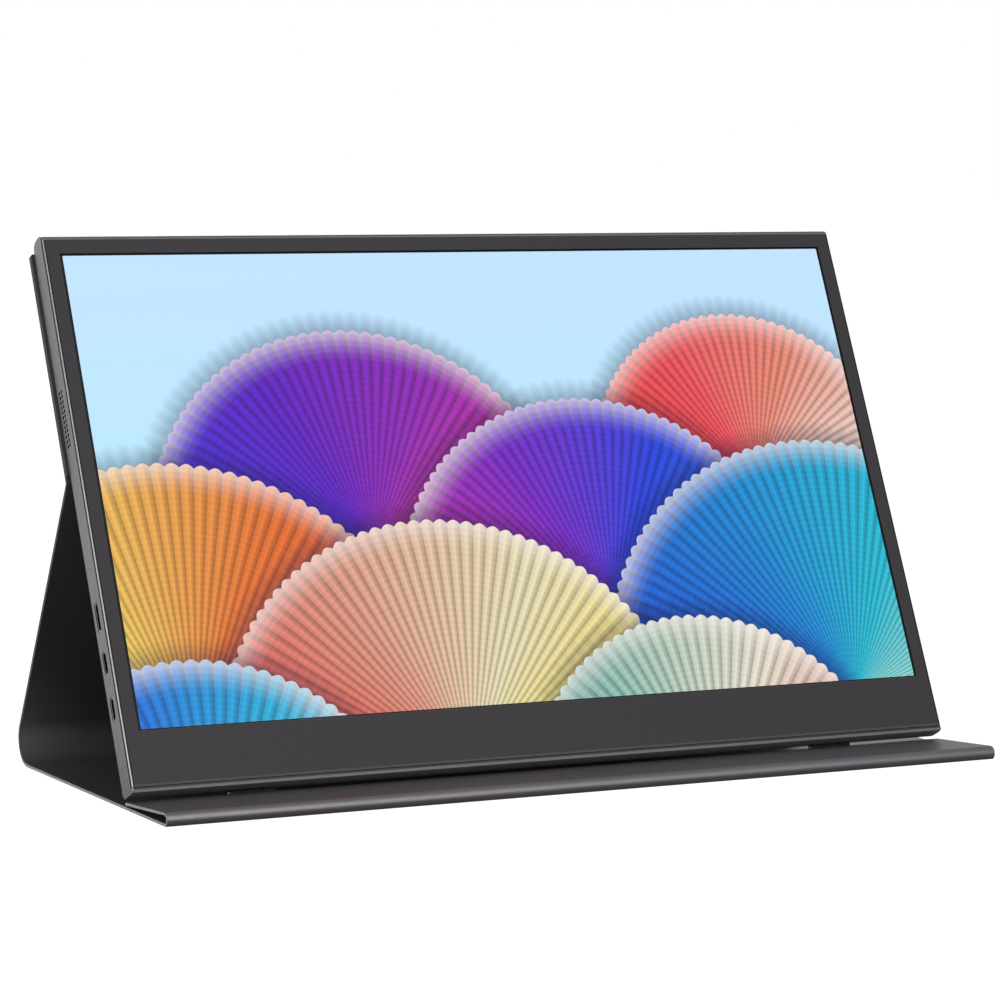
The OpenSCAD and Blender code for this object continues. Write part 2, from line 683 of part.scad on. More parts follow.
// ---- Cover panels ----
// A panel lies with its outer face down at Z = 0 and runs along +Y. Its skin is a shallow tray with
// a hem all round, the board lies in the tray, and the lining closes it.

module panel_outline(length, shrink = 0, r = 0) {
    w = cover_w / 2 - shrink;
    far = length - shrink;
    if (r > 0) {
        translate([-w, shrink]) square([2 * w, far - shrink - r]);
        translate([r - w, shrink]) square([2 * (w - r), far - shrink]);
        for (s = [-1, 1]) translate([s * (w - r), far - r]) circle(r = r);
    } else {
        translate([-w, shrink]) square([2 * w, far - shrink]);
    }
}
module panel_skin(length, t, r = 0) difference() {
    linear_extrude(t) panel_outline(length, 0, r);
    translate([0, 0, skin_t]) linear_extrude(t) panel_outline(length, hem);
}
module panel_board(length, t)
    translate([0, 0, skin_t]) linear_extrude(t - skin_t - lining_t) panel_outline(length, hem + board_fit);
module panel_lining(length, t)
    translate([0, 0, t - lining_t]) linear_extrude(lining_t) panel_outline(length, hem + board_fit / 2);

module as_base() translate([0, lip_y, 0]) children();
module base_skin() color("#2c2b2d") as_base() panel_skin(base_len, base_t);
module base_board() color("#a09c9f") as_base() panel_board(base_len, base_t);
module base_lining() color("#222021") as_base() panel_lining(base_len, base_t);

// The front flap's outer face is its top, and its board leaves room for the hinge leaves
module as_front_flap() on_front_flap() translate([0, 0, lip_r]) mirror([0, 0, 1]) children();
module leaf_room(fit) left_and_right()
    translate([-hinge_w / 2 - fit, flap_len - leaf_len - fit, skin_t])
        cube([hinge_w + 2 * fit, leaf_len + fit + cut, leaf_t]);
module front_flap_skin() color("#3b3a3c") as_front_flap() difference() {
    panel_skin(flap_len, flap_t);
    leaf_room(board_fit);
}
module front_flap_board() color("#a09c9f") as_front_flap() difference() {
    panel_board(flap_len, flap_t);
    leaf_room(board_fit);
}
module front_flap_lining() color("#222021") as_front_flap() panel_lining(flap_len, flap_t);

module as_leg() on_leg() translate([0, bend_r, 0]) rotate([90, 0, 0]) children();
leg_panel_len = leg_len - crease_gap;
module leg_skin() color("#2c2b2d") as_leg() panel_skin(leg_panel_len, leg_t);
module leg_board() color("#a09c9f") as_leg() panel_board(leg_panel_len, leg_t);
module leg_lining() color("#222021") as_leg() panel_lining(leg_panel_len, leg_t);

upper_panel_len = upper_flap_len - crease_gap;
module as_upper_flap()
    on_monitor() translate([0, flap_outer_y, crease_z + crease_gap]) rotate([90, 0, 0]) children();
// Places of the bar magnets along the upper flap
module magnet_places() for (row = magnet_rows, i = [0 : magnet_count - 1]) {
    x = (i - (magnet_count - 1) / 2) * cover_w / (magnet_count + 1);
    translate([x, upper_panel_len * row, upper_flap_t - lining_t - magnet[2]]) children();
}
module magnet_block(fit) translate([-magnet[0] / 2 - fit, -magnet[1] / 2 - fit, 0])
    cube([magnet[0] + 2 * fit, magnet[1] + 2 * fit, magnet[2] + (fit > 0 ? cut : 0)]);
module upper_flap_skin() color("#2c2b2d") as_upper_flap()
    panel_skin(upper_panel_len, upper_flap_t, flap_corner_r);
module upper_flap_board() color("#a09c9f") as_upper_flap() difference() {
    panel_board(upper_panel_len, upper_flap_t);
    magnet_places() magnet_block(board_fit / 2);
}
module upper_flap_lining() color("#222021") as_upper_flap() panel_lining(upper_panel_len, upper_flap_t);
module flap_magnets() color("#b0b0b3") as_upper_flap() magnet_places() magnet_block(0);

// Steel strips inside the monitor's back, behind the rows of magnets
strip_t = 0.5;
strip_h = 14;
strip_w = 0.84 * body_w;
module steel_strips() color("#8d8d90") on_monitor() for (row = magnet_rows) {
    z = crease_z + crease_gap + upper_panel_len * row;
    translate([-strip_w / 2, inner_back - strip_t, z - strip_h / 2]) cube([strip_w, strip_t, strip_h]);
}

// ---- Soft folds ----

// The lip is part of a tube, cut off flat where it meets the table and inside where it meets the base
module lip_fold() color("#565457") along_x(-cover_w / 2, cover_w / 2) translate([lip_y, lip_z]) difference() {
    intersection() {
        circle(r = lip_r);
        polygon([
            [0, -lip_z], [-2 * lip_r, -lip_z], [-2 * lip_r, 2 * lip_r],
            2 * lip_r * heading(90 - flap_slope), [0, 0]
        ]);
    }
    intersection() {
        circle(r = lip_r - base_t);
        translate([-2 * lip_r, base_t - lip_z]) square(4 * lip_r);
    }
    translate([-cut, base_t - lip_z]) square([2 * cut, lip_z - base_t]);
}

module rear_bend() color("#2c2b2d") along_x(-cover_w / 2, cover_w / 2) translate(bend) intersection() {
    difference() {
        circle(r = bend_r);
        circle(r = bend_r - base_t);
    }
    polygon(2 * bend_r * [[0, 0], [0, -1], [1, -1], [1, 0], heading(leg_lean)]);
}

// The crease is a folded strip whose valley faces the back
module middle_crease() color("#2c2b2d") along_x(-cover_w / 2, cover_w / 2) {
    up = heading(90 - tilt);
    down = -heading(90 + leg_lean);
    flap_in = heading(180 - tilt);
    leg_in = heading(180 + leg_lean);
    inward = (flap_in + leg_in) / norm(flap_in + leg_in);
    polygon([
        crease, crease + crease_gap * up, crease + crease_gap * up + base_t * flap_in,
        crease + base_t / (inward * flap_in) * inward,
        crease + crease_gap * down + base_t * leg_in, crease + crease_gap * down
    ]);
}

rear_housing();
front_bezel();
lcd_panel();
optical_films();
light_guide();
led_bar();
panel_frame();
main_board();
side_board();
board_screws();
panel_cable();
side_ribbon();
hdmi_socket();
usb_c_upper();
usb_c_lower();
headphone_jack();
speaker_left();
speaker_right();
key_switches();
power_button();
menu_rocker();
steel_strips();
hinge_bracket_left();
hinge_bracket_right();
bracket_screws();
hinge_pin_left();
hinge_pin_right();
hinge_leaf_left();
hinge_leaf_right();
front_flap_skin();
front_flap_board();
front_flap_lining();
lip_fold();
base_skin();
base_board();
base_lining();
rear_bend();
leg_skin();
leg_board();
leg_lining();
middle_crease();
upper_flap_skin();
upper_flap_board();
upper_flap_lining();
flap_magnets();
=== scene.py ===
"""A portable monitor that leans on its own folding cover, finished around its fixed frame.

Lengths are in metres unless a name ends in _MM. +X runs to the viewer's right, +Y to the back
and +Z up.
"""

import json
import math

import bmesh
import bpy
from bpy.props import FloatProperty, FloatVectorProperty, IntProperty, PointerProperty
from mathutils import Matrix, Vector


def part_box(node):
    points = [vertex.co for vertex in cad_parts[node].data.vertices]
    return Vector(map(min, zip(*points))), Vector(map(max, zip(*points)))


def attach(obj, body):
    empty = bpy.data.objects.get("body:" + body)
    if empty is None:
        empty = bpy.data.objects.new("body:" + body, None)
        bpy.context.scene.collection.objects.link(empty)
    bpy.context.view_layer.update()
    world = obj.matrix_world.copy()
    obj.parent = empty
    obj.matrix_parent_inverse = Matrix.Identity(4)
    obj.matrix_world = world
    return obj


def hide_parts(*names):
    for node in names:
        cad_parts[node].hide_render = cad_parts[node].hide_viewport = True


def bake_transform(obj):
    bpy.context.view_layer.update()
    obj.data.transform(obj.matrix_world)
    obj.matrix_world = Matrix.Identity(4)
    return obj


bl_info = {
    "name": "Folding portable monitor",
    "version": (1, 0, 0),
    "blender": (4, 5, 0),
    "location": "View3D > Sidebar > Monitor",
    "description": "Finishes a portable monitor and its folding cover around a fixed frame",
    "category": "Object",
}

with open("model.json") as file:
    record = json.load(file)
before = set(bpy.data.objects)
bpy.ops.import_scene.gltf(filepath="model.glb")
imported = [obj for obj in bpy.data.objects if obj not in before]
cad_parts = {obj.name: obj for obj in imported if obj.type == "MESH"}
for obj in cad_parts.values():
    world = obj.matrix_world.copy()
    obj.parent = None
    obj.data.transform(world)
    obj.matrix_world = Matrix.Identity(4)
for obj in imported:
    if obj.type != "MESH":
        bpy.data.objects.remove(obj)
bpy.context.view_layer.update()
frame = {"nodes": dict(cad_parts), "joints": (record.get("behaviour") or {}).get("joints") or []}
MM = 0.001

# Joint places, all on the middle plane
JOINTS = {joint["name"]: joint for joint in frame["joints"]}
LIP = Vector(JOINTS["lip_fold"]["pos_m"])
HINGE = Vector(JOINTS["monitor_hinge"]["pos_m"])
BEND = Vector(JOINTS["leg_fold"]["pos_m"])
CREASE = Vector(JOINTS["flap_fold"]["pos_m"])
ROCKER_AXIS = Vector(JOINTS["menu_rocker_tilt"]["axis"])

# Monitor body, in its own frame: Y from the front face to the back, Z from the bottom edge up
TILT = math.atan2(-ROCKER_AXIS.z, ROCKER_AXIS.y)
HINGE_BACK = 8.2 * MM
HINGE_DROP = 0.7 * MM
BODY_W = 2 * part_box("rear_housing")[1].x
BODY_T = 11.5 * MM
SIDE_WALL = 1.4 * MM
# Depths from the front between which the openings in the end walls lie
OPENINGS_FRONT = 2.65 * MM
OPENINGS_BACK = BODY_T - 1.6 * MM
# The bezel's polished chamfer, the painted shade line beside it, and a painted highlight along the
# bottom
CHAMFER_REACH = 1.2 * MM
CHAMFER_SLANT = (-0.93, -0.3)
EDGE_SHADE_MM = BODY_W / 2 / MM - 1
HIGHLIGHT_RISE_MM = (3.05, 3.35)
HIGHLIGHT_SHARE = 1.9
# The strip that turns under the bezel, and the painted shade of the grooves beside it and beside
# the top one
STRIP_RISE = 2.3 * MM
# The strip metal is the housing colour at this share, a painted shade
STRIP_SHADE_SHARE = 0.48
GROOVE_SHADE_COLOUR = (0.008, 0.008, 0.008)
GROOVE_SHADE_MM = (1.4, 1.5)
GROOVE_END_MM = 3
TOP_GROOVE_SHADE_MM = (225.8, 226)
# Black for painted shade in grooves, holes and openings
SHADE_BLACK = (0.004, 0.004, 0.004)
# The grille's holes, and the painted shade that runs round each mouth
GRILLE_BACK_MM = 7.25
GRILLE_RISE_MM = 152.5
GRILLE_ROWS_MM = 2.1
GRILLE_PITCH_MM = 2.0
GRILLE_LENGTH_MM = 12 * GRILLE_PITCH_MM
GRILLE_SHADE_MM = 0.83
SCREEN_W = 344.2 * MM
SCREEN_H = 193.6 * MM
SCREEN_MIDDLE_RISE = 24.7 * MM + SCREEN_H / 2
ON_MONITOR = (
    Matrix.Translation(HINGE)
    @ Matrix.Rotation(-TILT, 4, "X")
    @ Matrix.Translation((0, -HINGE_BACK, HINGE_DROP))
)
TO_BODY = ON_MONITOR.inverted()

# Cover. Its width, its soft sheet and its lip are the frame's own.
COVER_W = 2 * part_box("base_skin")[1].x
SOFT_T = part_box("base_skin")[1].z
FRONT_FLAP_T = 1.2 * MM
LEG_T = 1.6 * MM
UPPER_FLAP_T = 2.4 * MM
SKIN_EDGE = 0.14 * MM
LINING_EDGE = 0.12 * MM
LIP_R = LIP.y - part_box("lip_fold")[0].y
FRONT_FLAP_LEN = 39.5 * MM
UPPER_FLAP_LEN = 95.4 * MM
REST_GAP = 0.4 * MM
FLAP_CORNER_R = 1 * MM
# How far below the flap's highest point the edges of its free end lie at most
TOP_END = 1.4 * MM
CREASE_R = 0.8 * MM
# A turn sharper than this is an edge of the cover, not part of a fold
COVER_EDGE_DEGREES = 40


def flap_slope():
    """How far the front flap falls towards its free end."""
    inner = LIP_R - FRONT_FLAP_T
    drop = LIP.z - SOFT_T - REST_GAP
    return math.acos(-drop / math.hypot(inner, FRONT_FLAP_LEN)) - math.atan2(FRONT_FLAP_LEN, inner)


def leg_lean():
    """How far the leg leans forward from upright."""
    reach = (CREASE - BEND).length
    rise = math.atan2(CREASE.z - BEND.z, BEND.y - CREASE.y) - math.asin(BEND.z / reach)
    return math.pi / 2 - rise


SLOPE = flap_slope()
LEAN = leg_lean()


def colour_setting(name, description, colour):
    return FloatVectorProperty(
        name=name, description=description, subtype="COLOR", default=colour, min=0, max=1
    )


def length_setting(name, description, length, low, high):
    return FloatProperty(
        name=name, description=description, subtype="DISTANCE", default=length, min=low, max=high
    )


class CoverSettings(bpy.types.PropertyGroup):
    """Colours and grain of the folding cover"""

    skin_colour: colour_setting(
        "Skin colour", "Colour of the cover's outer face", (0.0255, 0.0235, 0.0248)
    )
    lining_colour: colour_setting(
        "Lining colour", "Colour of the cover's inner face", (0.063, 0.0582, 0.061)
    )
    cut_edge_colour: colour_setting(
        "Cut edge colour",
        "Colour of the board at the cut edges of the base and the front flap",
        (0.36, 0.34, 0.35),
    )
    dyed_edge_colour: colour_setting(
        "Dyed edge colour",
        "Colour of the board at the edges of the leg and the upper flap",
        (0.055, 0.053, 0.056),
    )
    grain: length_setting(
        "Grain size", "Size of the pebbles in the cover's grain", 0.35 * MM, 0.1 * MM, 2 * MM
    )
    fold_steps: IntProperty(
        name="Fold steps",
        description="Straight pieces in each fold",
        default=22,
        min=6,
        max=64,
    )


class MonitorSettings(bpy.types.PropertyGroup):
    """Colours and edges of the monitor"""

    bezel_colour: colour_setting(
        "Bezel colour", "Colour of the frame round the screen", (0.0259, 0.0239, 0.0258)
    )
    housing_colour: colour_setting(
        "Housing colour", "Colour of the metal housing", (0.232, 0.215, 0.226)
    )
    edge_bevel: length_setting(
        "Edge bevel", "Width of the bevel along the housing's edges", 0.12 * MM, 0.02 * MM, 0.5 * MM
    )
    screen_brightness: FloatProperty(
        name="Screen brightness",
        description="Strength of the light that the lit area gives off",
        default=1.0,
        min=0,
        max=4,
    )


class StageSettings(bpy.types.PropertyGroup):
    """Camera and light"""

    lens: FloatProperty(
        name="Lens",
        description="Focal length of the camera, in millimetres",
        default=134.85,
        min=20,
        max=300,
    )
    surroundings: FloatProperty(
        name="Surroundings",
        description="Level of the even light from all round",
        default=0.55,
        min=0,
        max=4,
    )


# ---- Working by hand in edit mode ----

SMOOTH_DEGREES = 35
SHARP_DEGREES = 30


def choose(piece):
    """Makes a piece the only one selected, in object mode."""
    if bpy.context.object and bpy.context.object.mode != "OBJECT":
        bpy.ops.object.mode_set(mode="OBJECT")
    bpy.ops.object.select_all(action="DESELECT")
    bpy.context.view_layer.objects.active = piece
    piece.select_set(True)


def open_mesh(piece):
    """Enters edit mode on a piece with nothing selected."""
    choose(piece)
    bpy.ops.object.mode_set(mode="EDIT")
    bpy.ops.mesh.select_mode(type="VERT")
    bpy.ops.mesh.select_all(action="DESELECT")
    return bmesh.from_edit_mesh(piece.data)


def pick(piece, kind, test):
    """Selects the faces or edges, by kind, that pass a test."""
    bpy.ops.mesh.select_mode(type="VERT")
    bpy.ops.mesh.select_all(action="DESELECT")
    bpy.ops.mesh.select_mode(type=kind)
    mesh = bmesh.from_edit_mesh(piece.data)
    mesh.normal_update()
    found = [part for part in (mesh.faces if kind == "FACE" else mesh.edges) if test(part)]
    for part in found:
        part.select_set(True)
    mesh.select_flush_mode()
    bmesh.update_edit_mesh(piece.data)
    if not found:
        raise RuntimeError(f"{piece.name}: nothing passes the test")


def close_mesh(smooth_degrees=SMOOTH_DEGREES):
    """Recalculates the normals, leaves edit mode and smooths all but the sharp edges."""
    bpy.ops.mesh.select_all(action="SELECT")
    bpy.ops.mesh.normals_make_consistent(inside=False)
    bpy.ops.object.mode_set(mode="OBJECT")
    bpy.ops.object.shade_smooth_by_angle(angle=math.radians(smooth_degrees))


def soften(piece, width, segments):
    """A fine bevel along every sharp edge."""
    choose(piece)
    bevel = piece.modifiers.new("Edges", "BEVEL")
    bevel.width = width
    bevel.segments = segments
    bevel.limit_method = "ANGLE"
    bevel.angle_limit = math.radians(SHARP_DEGREES)
    bevel.harden_normals = False
    bpy.ops.object.modifier_apply(modifier=bevel.name)
    bpy.ops.object.shade_smooth_by_angle(angle=math.radians(SMOOTH_DEGREES))


def set_down(piece):
    """Applies the piece's place, so that its object sits at the origin."""
    choose(piece)
    bpy.ops.object.transform_apply(location=True, rotation=True, scale=True)


def seat(piece, body, nodes, material):
    """Gives a piece its material and slot, its body if it has one, and the nodes it stands for."""
    piece.data.materials.clear()
    piece.data.materials.append(material)
    if body:
        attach(piece, body)
    if nodes:
        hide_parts(*nodes)
    return piece


def edged_copy(node, name, width, segments=2):
    """A CAD node's own form with its triangles merged and its sharp edges softened."""
    piece = bpy.data.objects.new(name, frame["nodes"][node].data.copy())
    bpy.context.scene.collection.objects.link(piece)
    open_mesh(piece)
    bpy.ops.mesh.select_all(action="SELECT")
    bpy.ops.mesh.customdata_custom_splitnormals_clear()
    bpy.ops.mesh.remove_doubles(threshold=0.002 * MM)
    bpy.ops.mesh.dissolve_limited(angle_limit=math.radians(0.5))
    close_mesh()
    soften(piece, width, segments)
    return piece


def in_body(face):
    """A face's middle and its normal in the monitor's own frame."""
    return TO_BODY @ face.calc_center_median(), TO_BODY.to_3x3() @ face.normal


def paint_faces(piece, slot, test):
    """Gives the faces that pass the test the material in that slot."""
    open_mesh(piece)
    pick(piece, "FACE", test)
    piece.active_material_index = slot
    bpy.ops.object.material_slot_assign()
    bpy.ops.object.mode_set(mode="OBJECT")


# ---- Finishes ----


def plug(tree, socket, value):
    """Links a socket to another one, or sets its value."""
    if isinstance(value, bpy.types.NodeSocket):
        tree.links.new(value, socket)
    else:
        socket.default_value = value


def add_node(tree, kind, inputs=(), **settings):
    """Adds a node with its settings. inputs gives sockets, by name or index, their values."""
    node = tree.nodes.new(kind)
    for key, value in settings.items():
        setattr(node, key, value)
    for socket, value in dict(inputs).items():
        plug(tree, node.inputs[socket], value)
    return node


def shares_of(colour, *shares):
    """The colour at each of some shares of its strength."""
    return [tuple(min(1, c * share) for c in colour) for share in shares]


class Finish:
    """A material and short calls for the nodes that the finishes share"""

    def __init__(self, name, colour, roughness, metallic=0.0, specular=0.5):
        self.material = bpy.data.materials.new(name)
        self.material.use_nodes = True
        self.tree = self.material.node_tree
        self.shader = self.tree.nodes["Principled BSDF"]
        self.put("Base Color", (*colour, 1))
        self.put("Roughness", roughness)
        self.put("Metallic", metallic)
        self.put("Specular IOR Level", specular)
        self.colour = colour
        self.place = self.add("ShaderNodeTexCoord")["Object"]

    def add(self, kind, inputs=(), **settings):
        return add_node(self.tree, kind, inputs, **settings).outputs

    def put(self, socket, value):
        """Sets one of the shader's sockets, or links it."""
        plug(self.tree, self.shader.inputs[socket], value)

    def calc(self, operation, *values):
        return self.add("ShaderNodeMath", enumerate(values), operation=operation)[0]

    def distance(self, across, up):
        squares = [self.calc("MULTIPLY", side, side) for side in (across, up)]
        return self.calc("SQRT", self.calc("ADD", *squares))

    def split(self, place):
        """A place's three coordinates."""
        return self.add("ShaderNodeSeparateXYZ", {0: place})

    def on_body(self):
        """Millimetres right, back and up from the middle of the monitor's front bottom edge."""
        inputs = {
            "Vector": self.place,
            "Scale": (1 / MM,) * 3,
            "Rotation": (TILT, 0, 0),
            "Location": TO_BODY.translation / MM,
        }
        return self.split(self.add("ShaderNodeMapping", inputs)[0])

    def noise(self, size, detail=2.0, roughness=0.5, place=None):
        """A noise whose blobs are about size across."""
        inputs = {"Vector": place or self.place, "Scale": 1 / size}
        inputs |= {"Detail": detail, "Roughness": roughness}
        return self.add("ShaderNodeTexNoise", inputs)["Fac"]

    def pebbles(self, size):
        """Rounded cells with creases between them."""
        inputs = {"Vector": self.place, "Scale": 1 / size, "Smoothness": 0.4}
        return self.add("ShaderNodeTexVoronoi", inputs, feature="SMOOTH_F1")["Distance"]

    def stretch(self, scale, turn=0.0):
        """The object's own coordinates, squeezed, for grain that runs one way."""
        inputs = {"Vector": self.place, "Scale": scale, "Rotation": (turn, 0, 0)}
        return self.add("ShaderNodeMapping", inputs)[0]

    def spread(self, value, low, high, from_low=0.3, from_high=0.7):
        """Maps values onto low to high, from a noise's usual range unless one is given."""
        inputs = enumerate((value, from_low, from_high, low, high))
        return self.add("ShaderNodeMapRange", inputs)[0]

    def ramp(self, value, stops):
        node = add_node(self.tree, "ShaderNodeValToRGB", {0: value})
        elements = node.color_ramp.elements
        while len(elements) < len(stops):
            elements.new(0.5)
        for element, (position, colour) in zip(elements, stops):
            element.position = position
            element.color = (*colour, 1)
        return node.outputs[0]

    def mix(self, share, first, second, blend="MIX"):
        inputs = {"Factor": share}
        for index, value in ((6, first), (7, second)):
            linked = isinstance(value, bpy.types.NodeSocket)
            inputs[index] = value if linked else (*value, 1)
        return self.add("ShaderNodeMix", inputs, data_type="RGBA", blend_type=blend)[2]

    def vary(self, share, darker, lighter):
        """The base colour, from one share of its strength to another."""
        return self.mix(share, *shares_of(self.colour, darker, lighter))

    def tint(self, value, darker, lighter):
        """Varies the base colour by a noise."""
        self.put("Base Color", self.vary(self.spread(value, 0, 1), darker, lighter))

    def scuff(self, size, low, high, detail=3):
        """Varies the roughness in blobs of a size."""
        self.put("Roughness", self.spread(self.noise(size, detail), low, high))

    def bump(self, height, depth, strength=1.0):
        inputs = {"Strength": strength, "Distance": depth, "Height": height}
        self.put("Normal", self.add("ShaderNodeBump", inputs)[0])


def bezel_paint(settings):
    """Fine matte paint with a barely visible texture, painted shade along the outer millimetre
    beside the chamfer, and a painted highlight along the bottom
    """
    finish = Finish("bezel_paint", settings.bezel_colour, 0.5, specular=0.1)
    grain = finish.spread(finish.noise(0.25 * MM, 3), 0, 1)
    right, _, rise = finish.on_body()
    # Painted highlight: the paint is lighter, at this share, below a rise of about 3 mm
    [bottom_highlight] = shares_of(finish.colour, HIGHLIGHT_SHARE)
    low = finish.spread(rise, 1, 0, *HIGHLIGHT_RISE_MM)
    paint = finish.mix(low, finish.vary(grain, 0.94, 1.06), bottom_highlight)
    # Painted shade: black along the bezel's outer millimetre, beside the chamfer
    outward = finish.calc("ABSOLUTE", right)
    edge_shade = finish.spread(outward, 0, 1, EDGE_SHADE_MM - 0.05, EDGE_SHADE_MM)
    finish.put("Base Color", finish.mix(edge_shade, paint, SHADE_BLACK))
    finish.bump(finish.noise(0.12 * MM, 2), 0.004 * MM)
    return finish.material


def housing_metal(settings):
    """Bead-blasted metal with bright specks, and painted shade round the mouths of the grille's
    holes
    """
    finish = Finish("housing_metal", settings.housing_colour, 0.42, 0.55)
    speck = finish.spread(finish.noise(0.8 * MM, 3, 0.8), 0, 1, 0.38, 0.62)
    paint = finish.vary(speck, 0.78, 1.26)
    _, back, rise = finish.on_body()
    # Painted shade: a black ring round each of the grille's holes
    row = finish.calc("ABSOLUTE", finish.calc("SUBTRACT", back, GRILLE_BACK_MM))
    row = finish.calc("SUBTRACT", row, GRILLE_ROWS_MM / 2)
    along = finish.calc("SUBTRACT", rise, GRILLE_RISE_MM)
    hole = finish.calc("PINGPONG", finish.calc("ADD", along, GRILLE_LENGTH_MM), GRILLE_PITCH_MM / 2)
    hole = finish.calc("SUBTRACT", hole, GRILLE_PITCH_MM / 2)
    away = finish.distance(row, hole)
    hole_shade = finish.spread(away, 1, 0, GRILLE_SHADE_MM - 0.04, GRILLE_SHADE_MM)
    within = finish.calc("LESS_THAN", finish.calc("ABSOLUTE", along), GRILLE_LENGTH_MM / 2)
    hole_shade = finish.calc("MULTIPLY", hole_shade, within)
    finish.put("Base Color", finish.mix(hole_shade, paint, SHADE_BLACK))
    finish.put("Metallic", finish.spread(hole_shade, 0.55, 0, 0, 1))
    finish.scuff(0.6 * MM, 0.37, 0.48)
    finish.bump(finish.noise(0.2 * MM, 3), 0.006 * MM)
    return finish.material


def strip_metal(settings):
    """The same metal where it frames the bezel above and below, darkened to about half as painted
    shade, with painted shade at the seams
    """
    [shaded] = shares_of(settings.housing_colour, STRIP_SHADE_SHARE)
    finish = Finish("strip_metal", shaded, 0.5, 0.4)
    _, _, rise = finish.on_body()
    # Painted shade: dark between 1.5 and 3 mm up, and above 226 mm up, where the seams lie
    low = finish.calc("LESS_THAN", rise, GROOVE_END_MM)
    groove_shade = finish.calc("MULTIPLY", finish.spread(rise, 0, 1, *GROOVE_SHADE_MM), low)
    groove_shade = finish.calc("MAXIMUM", groove_shade, finish.spread(rise, 0, 1, *TOP_GROOVE_SHADE_MM))
    grain = finish.spread(finish.noise(0.4 * MM, 3), 0, 1)
    paint = finish.vary(grain, 0.9, 1.1)
    finish.put("Base Color", finish.mix(groove_shade, paint, GROOVE_SHADE_COLOUR))
    finish.put("Metallic", finish.spread(groove_shade, 0.4, 0, 0, 1))
    return finish.material


def shadow_paint():
    """Matte black inside the openings of the housing"""
    finish = Finish("shadow_paint", SHADE_BLACK, 0.8, specular=0.1)
    finish.tint(finish.noise(0.3 * MM, 2), 0.8, 1.2)
    return finish.material


def rim_metal(settings):
    """The polished chamfer round the bezel"""
    light = tuple(c * share for c, share in zip(settings.housing_colour, (0.95, 1.0, 0.97)))
    finish = Finish("rim_metal", light, 0.3, 0.8)
    finish.scuff(0.4 * MM, 0.36, 0.46)
    return finish.material


def cover_skin(settings):
    """Pebbled coated leather"""
    finish = Finish("cover_skin", settings.skin_colour, 0.44, specular=0.95)
    finish.put("Specular Tint", (1.0, 0.945, 0.98, 1))
    cells = finish.pebbles(settings.grain)
    patches = finish.calc("MULTIPLY", finish.noise(9 * MM, 3), 0.25)
    finish.tint(finish.calc("ADD", cells, patches), 0.85, 1.2)
    finish.scuff(1.4 * MM, 0.41, 0.47)
    finish.bump(cells, 0.03 * MM, 0.5)
    return finish.material


def cover_lining(settings):
    """Smooth dark coated cloth with a very fine weave"""
    finish = Finish("cover_lining", settings.lining_colour, 0.28)
    weave = finish.calc(
        "ADD",
        finish.noise(0.16 * MM, 1, place=finish.stretch((1, 3, 3))),
        finish.noise(0.16 * MM, 1, place=finish.stretch((3, 1, 1))),
    )
    finish.tint(finish.noise(2.5 * MM, 3), 0.98, 1.02)
    finish.scuff(3 * MM, 0.28, 0.29, 2)
    finish.bump(weave, 0.003 * MM, 0.2)
    return finish.material


def pressed_board(name, colour):
    """A cut edge of pressed fibre board, with layers along its length"""
    finish = Finish(name, colour, 0.7)
    layers = finish.noise(0.3 * MM, 4, 0.6, finish.stretch((1, 0.12, 0.12)))
    finish.tint(layers, 0.8, 1.15)
    finish.bump(finish.noise(0.1 * MM, 3), 0.02 * MM, 0.6)
    return finish.material


def hinge_lacquer():
    """Satin black lacquer over steel"""
    finish = Finish("hinge_lacquer", (0.004, 0.004, 0.0045), 0.55, specular=0.1)
    finish.scuff(0.5 * MM, 0.5, 0.6)
    return finish.material


def turned_steel(name, colour, roughness, lines=(30, 1, 1)):
    """Bright steel with fine lines round it"""
    finish = Finish(name, colour, roughness, 1.0)
    mark = finish.noise(0.5 * MM, 3, 0.6, finish.stretch(lines))
    finish.tint(mark, 0.85, 1.1)
    finish.put("Roughness", finish.spread(mark, roughness * 0.8, roughness * 1.25))
    return finish.material


def socket_metal():
    """Bright metal at a socket's mouth, and painted shade further in"""
    mouth_colour = (0.62, 0.6, 0.6)
    finish = Finish("socket_metal", mouth_colour, 0.32, 0.9)
    outward = finish.calc("ABSOLUTE", finish.split(finish.place)[0])
    mouth = BODY_W / 2 - 0.2 * MM
    # Painted shade: black from about 0.35 mm inside the mouth
    depth = finish.spread(outward, 0, 1, mouth - 0.35 * MM, mouth)
    mark = finish.spread(finish.noise(0.3 * MM, 3), 0.9, 1)
    bright = finish.mix(mark, (0.5, 0.48, 0.48), mouth_colour)
    finish.put("Base Color", finish.mix(depth, SHADE_BLACK, bright))
    return finish.material


def moulded(name, colour, roughness=0.5, grain=0.15 * MM):
    """Spark-eroded moulded plastic"""
    finish = Finish(name, colour, roughness)
    finish.tint(finish.noise(grain * 2, 3), 0.9, 1.1)
    finish.bump(finish.noise(grain, 2), 0.01 * MM, 0.5)
    return finish.material


def circuit_green():
    """Solder resist with copper showing through as lighter tracks"""
    finish = Finish("circuit_green", (0.02, 0.12, 0.05), 0.35)
    tracks = {
        "Vector": finish.stretch((1, 1, 1), math.pi / 2 + TILT),
        "Scale": 1 / (9 * MM),
        "Mortar Size": 0.03,
        "Color1": (0.015, 0.1, 0.04, 1),
        "Color2": (0.02, 0.13, 0.055, 1),
        "Mortar": (0.05, 0.25, 0.1, 1),
    }
    finish.put("Base Color", finish.add("ShaderNodeTexBrick", tracks)["Color"])
    return finish.material


# ---- The picture on the screen: pleated paper fans on a pale sky ----

SKY_LOW = (0.45, 0.84, 0.96)
SKY_HIGH = (0.54, 0.77, 1.0)
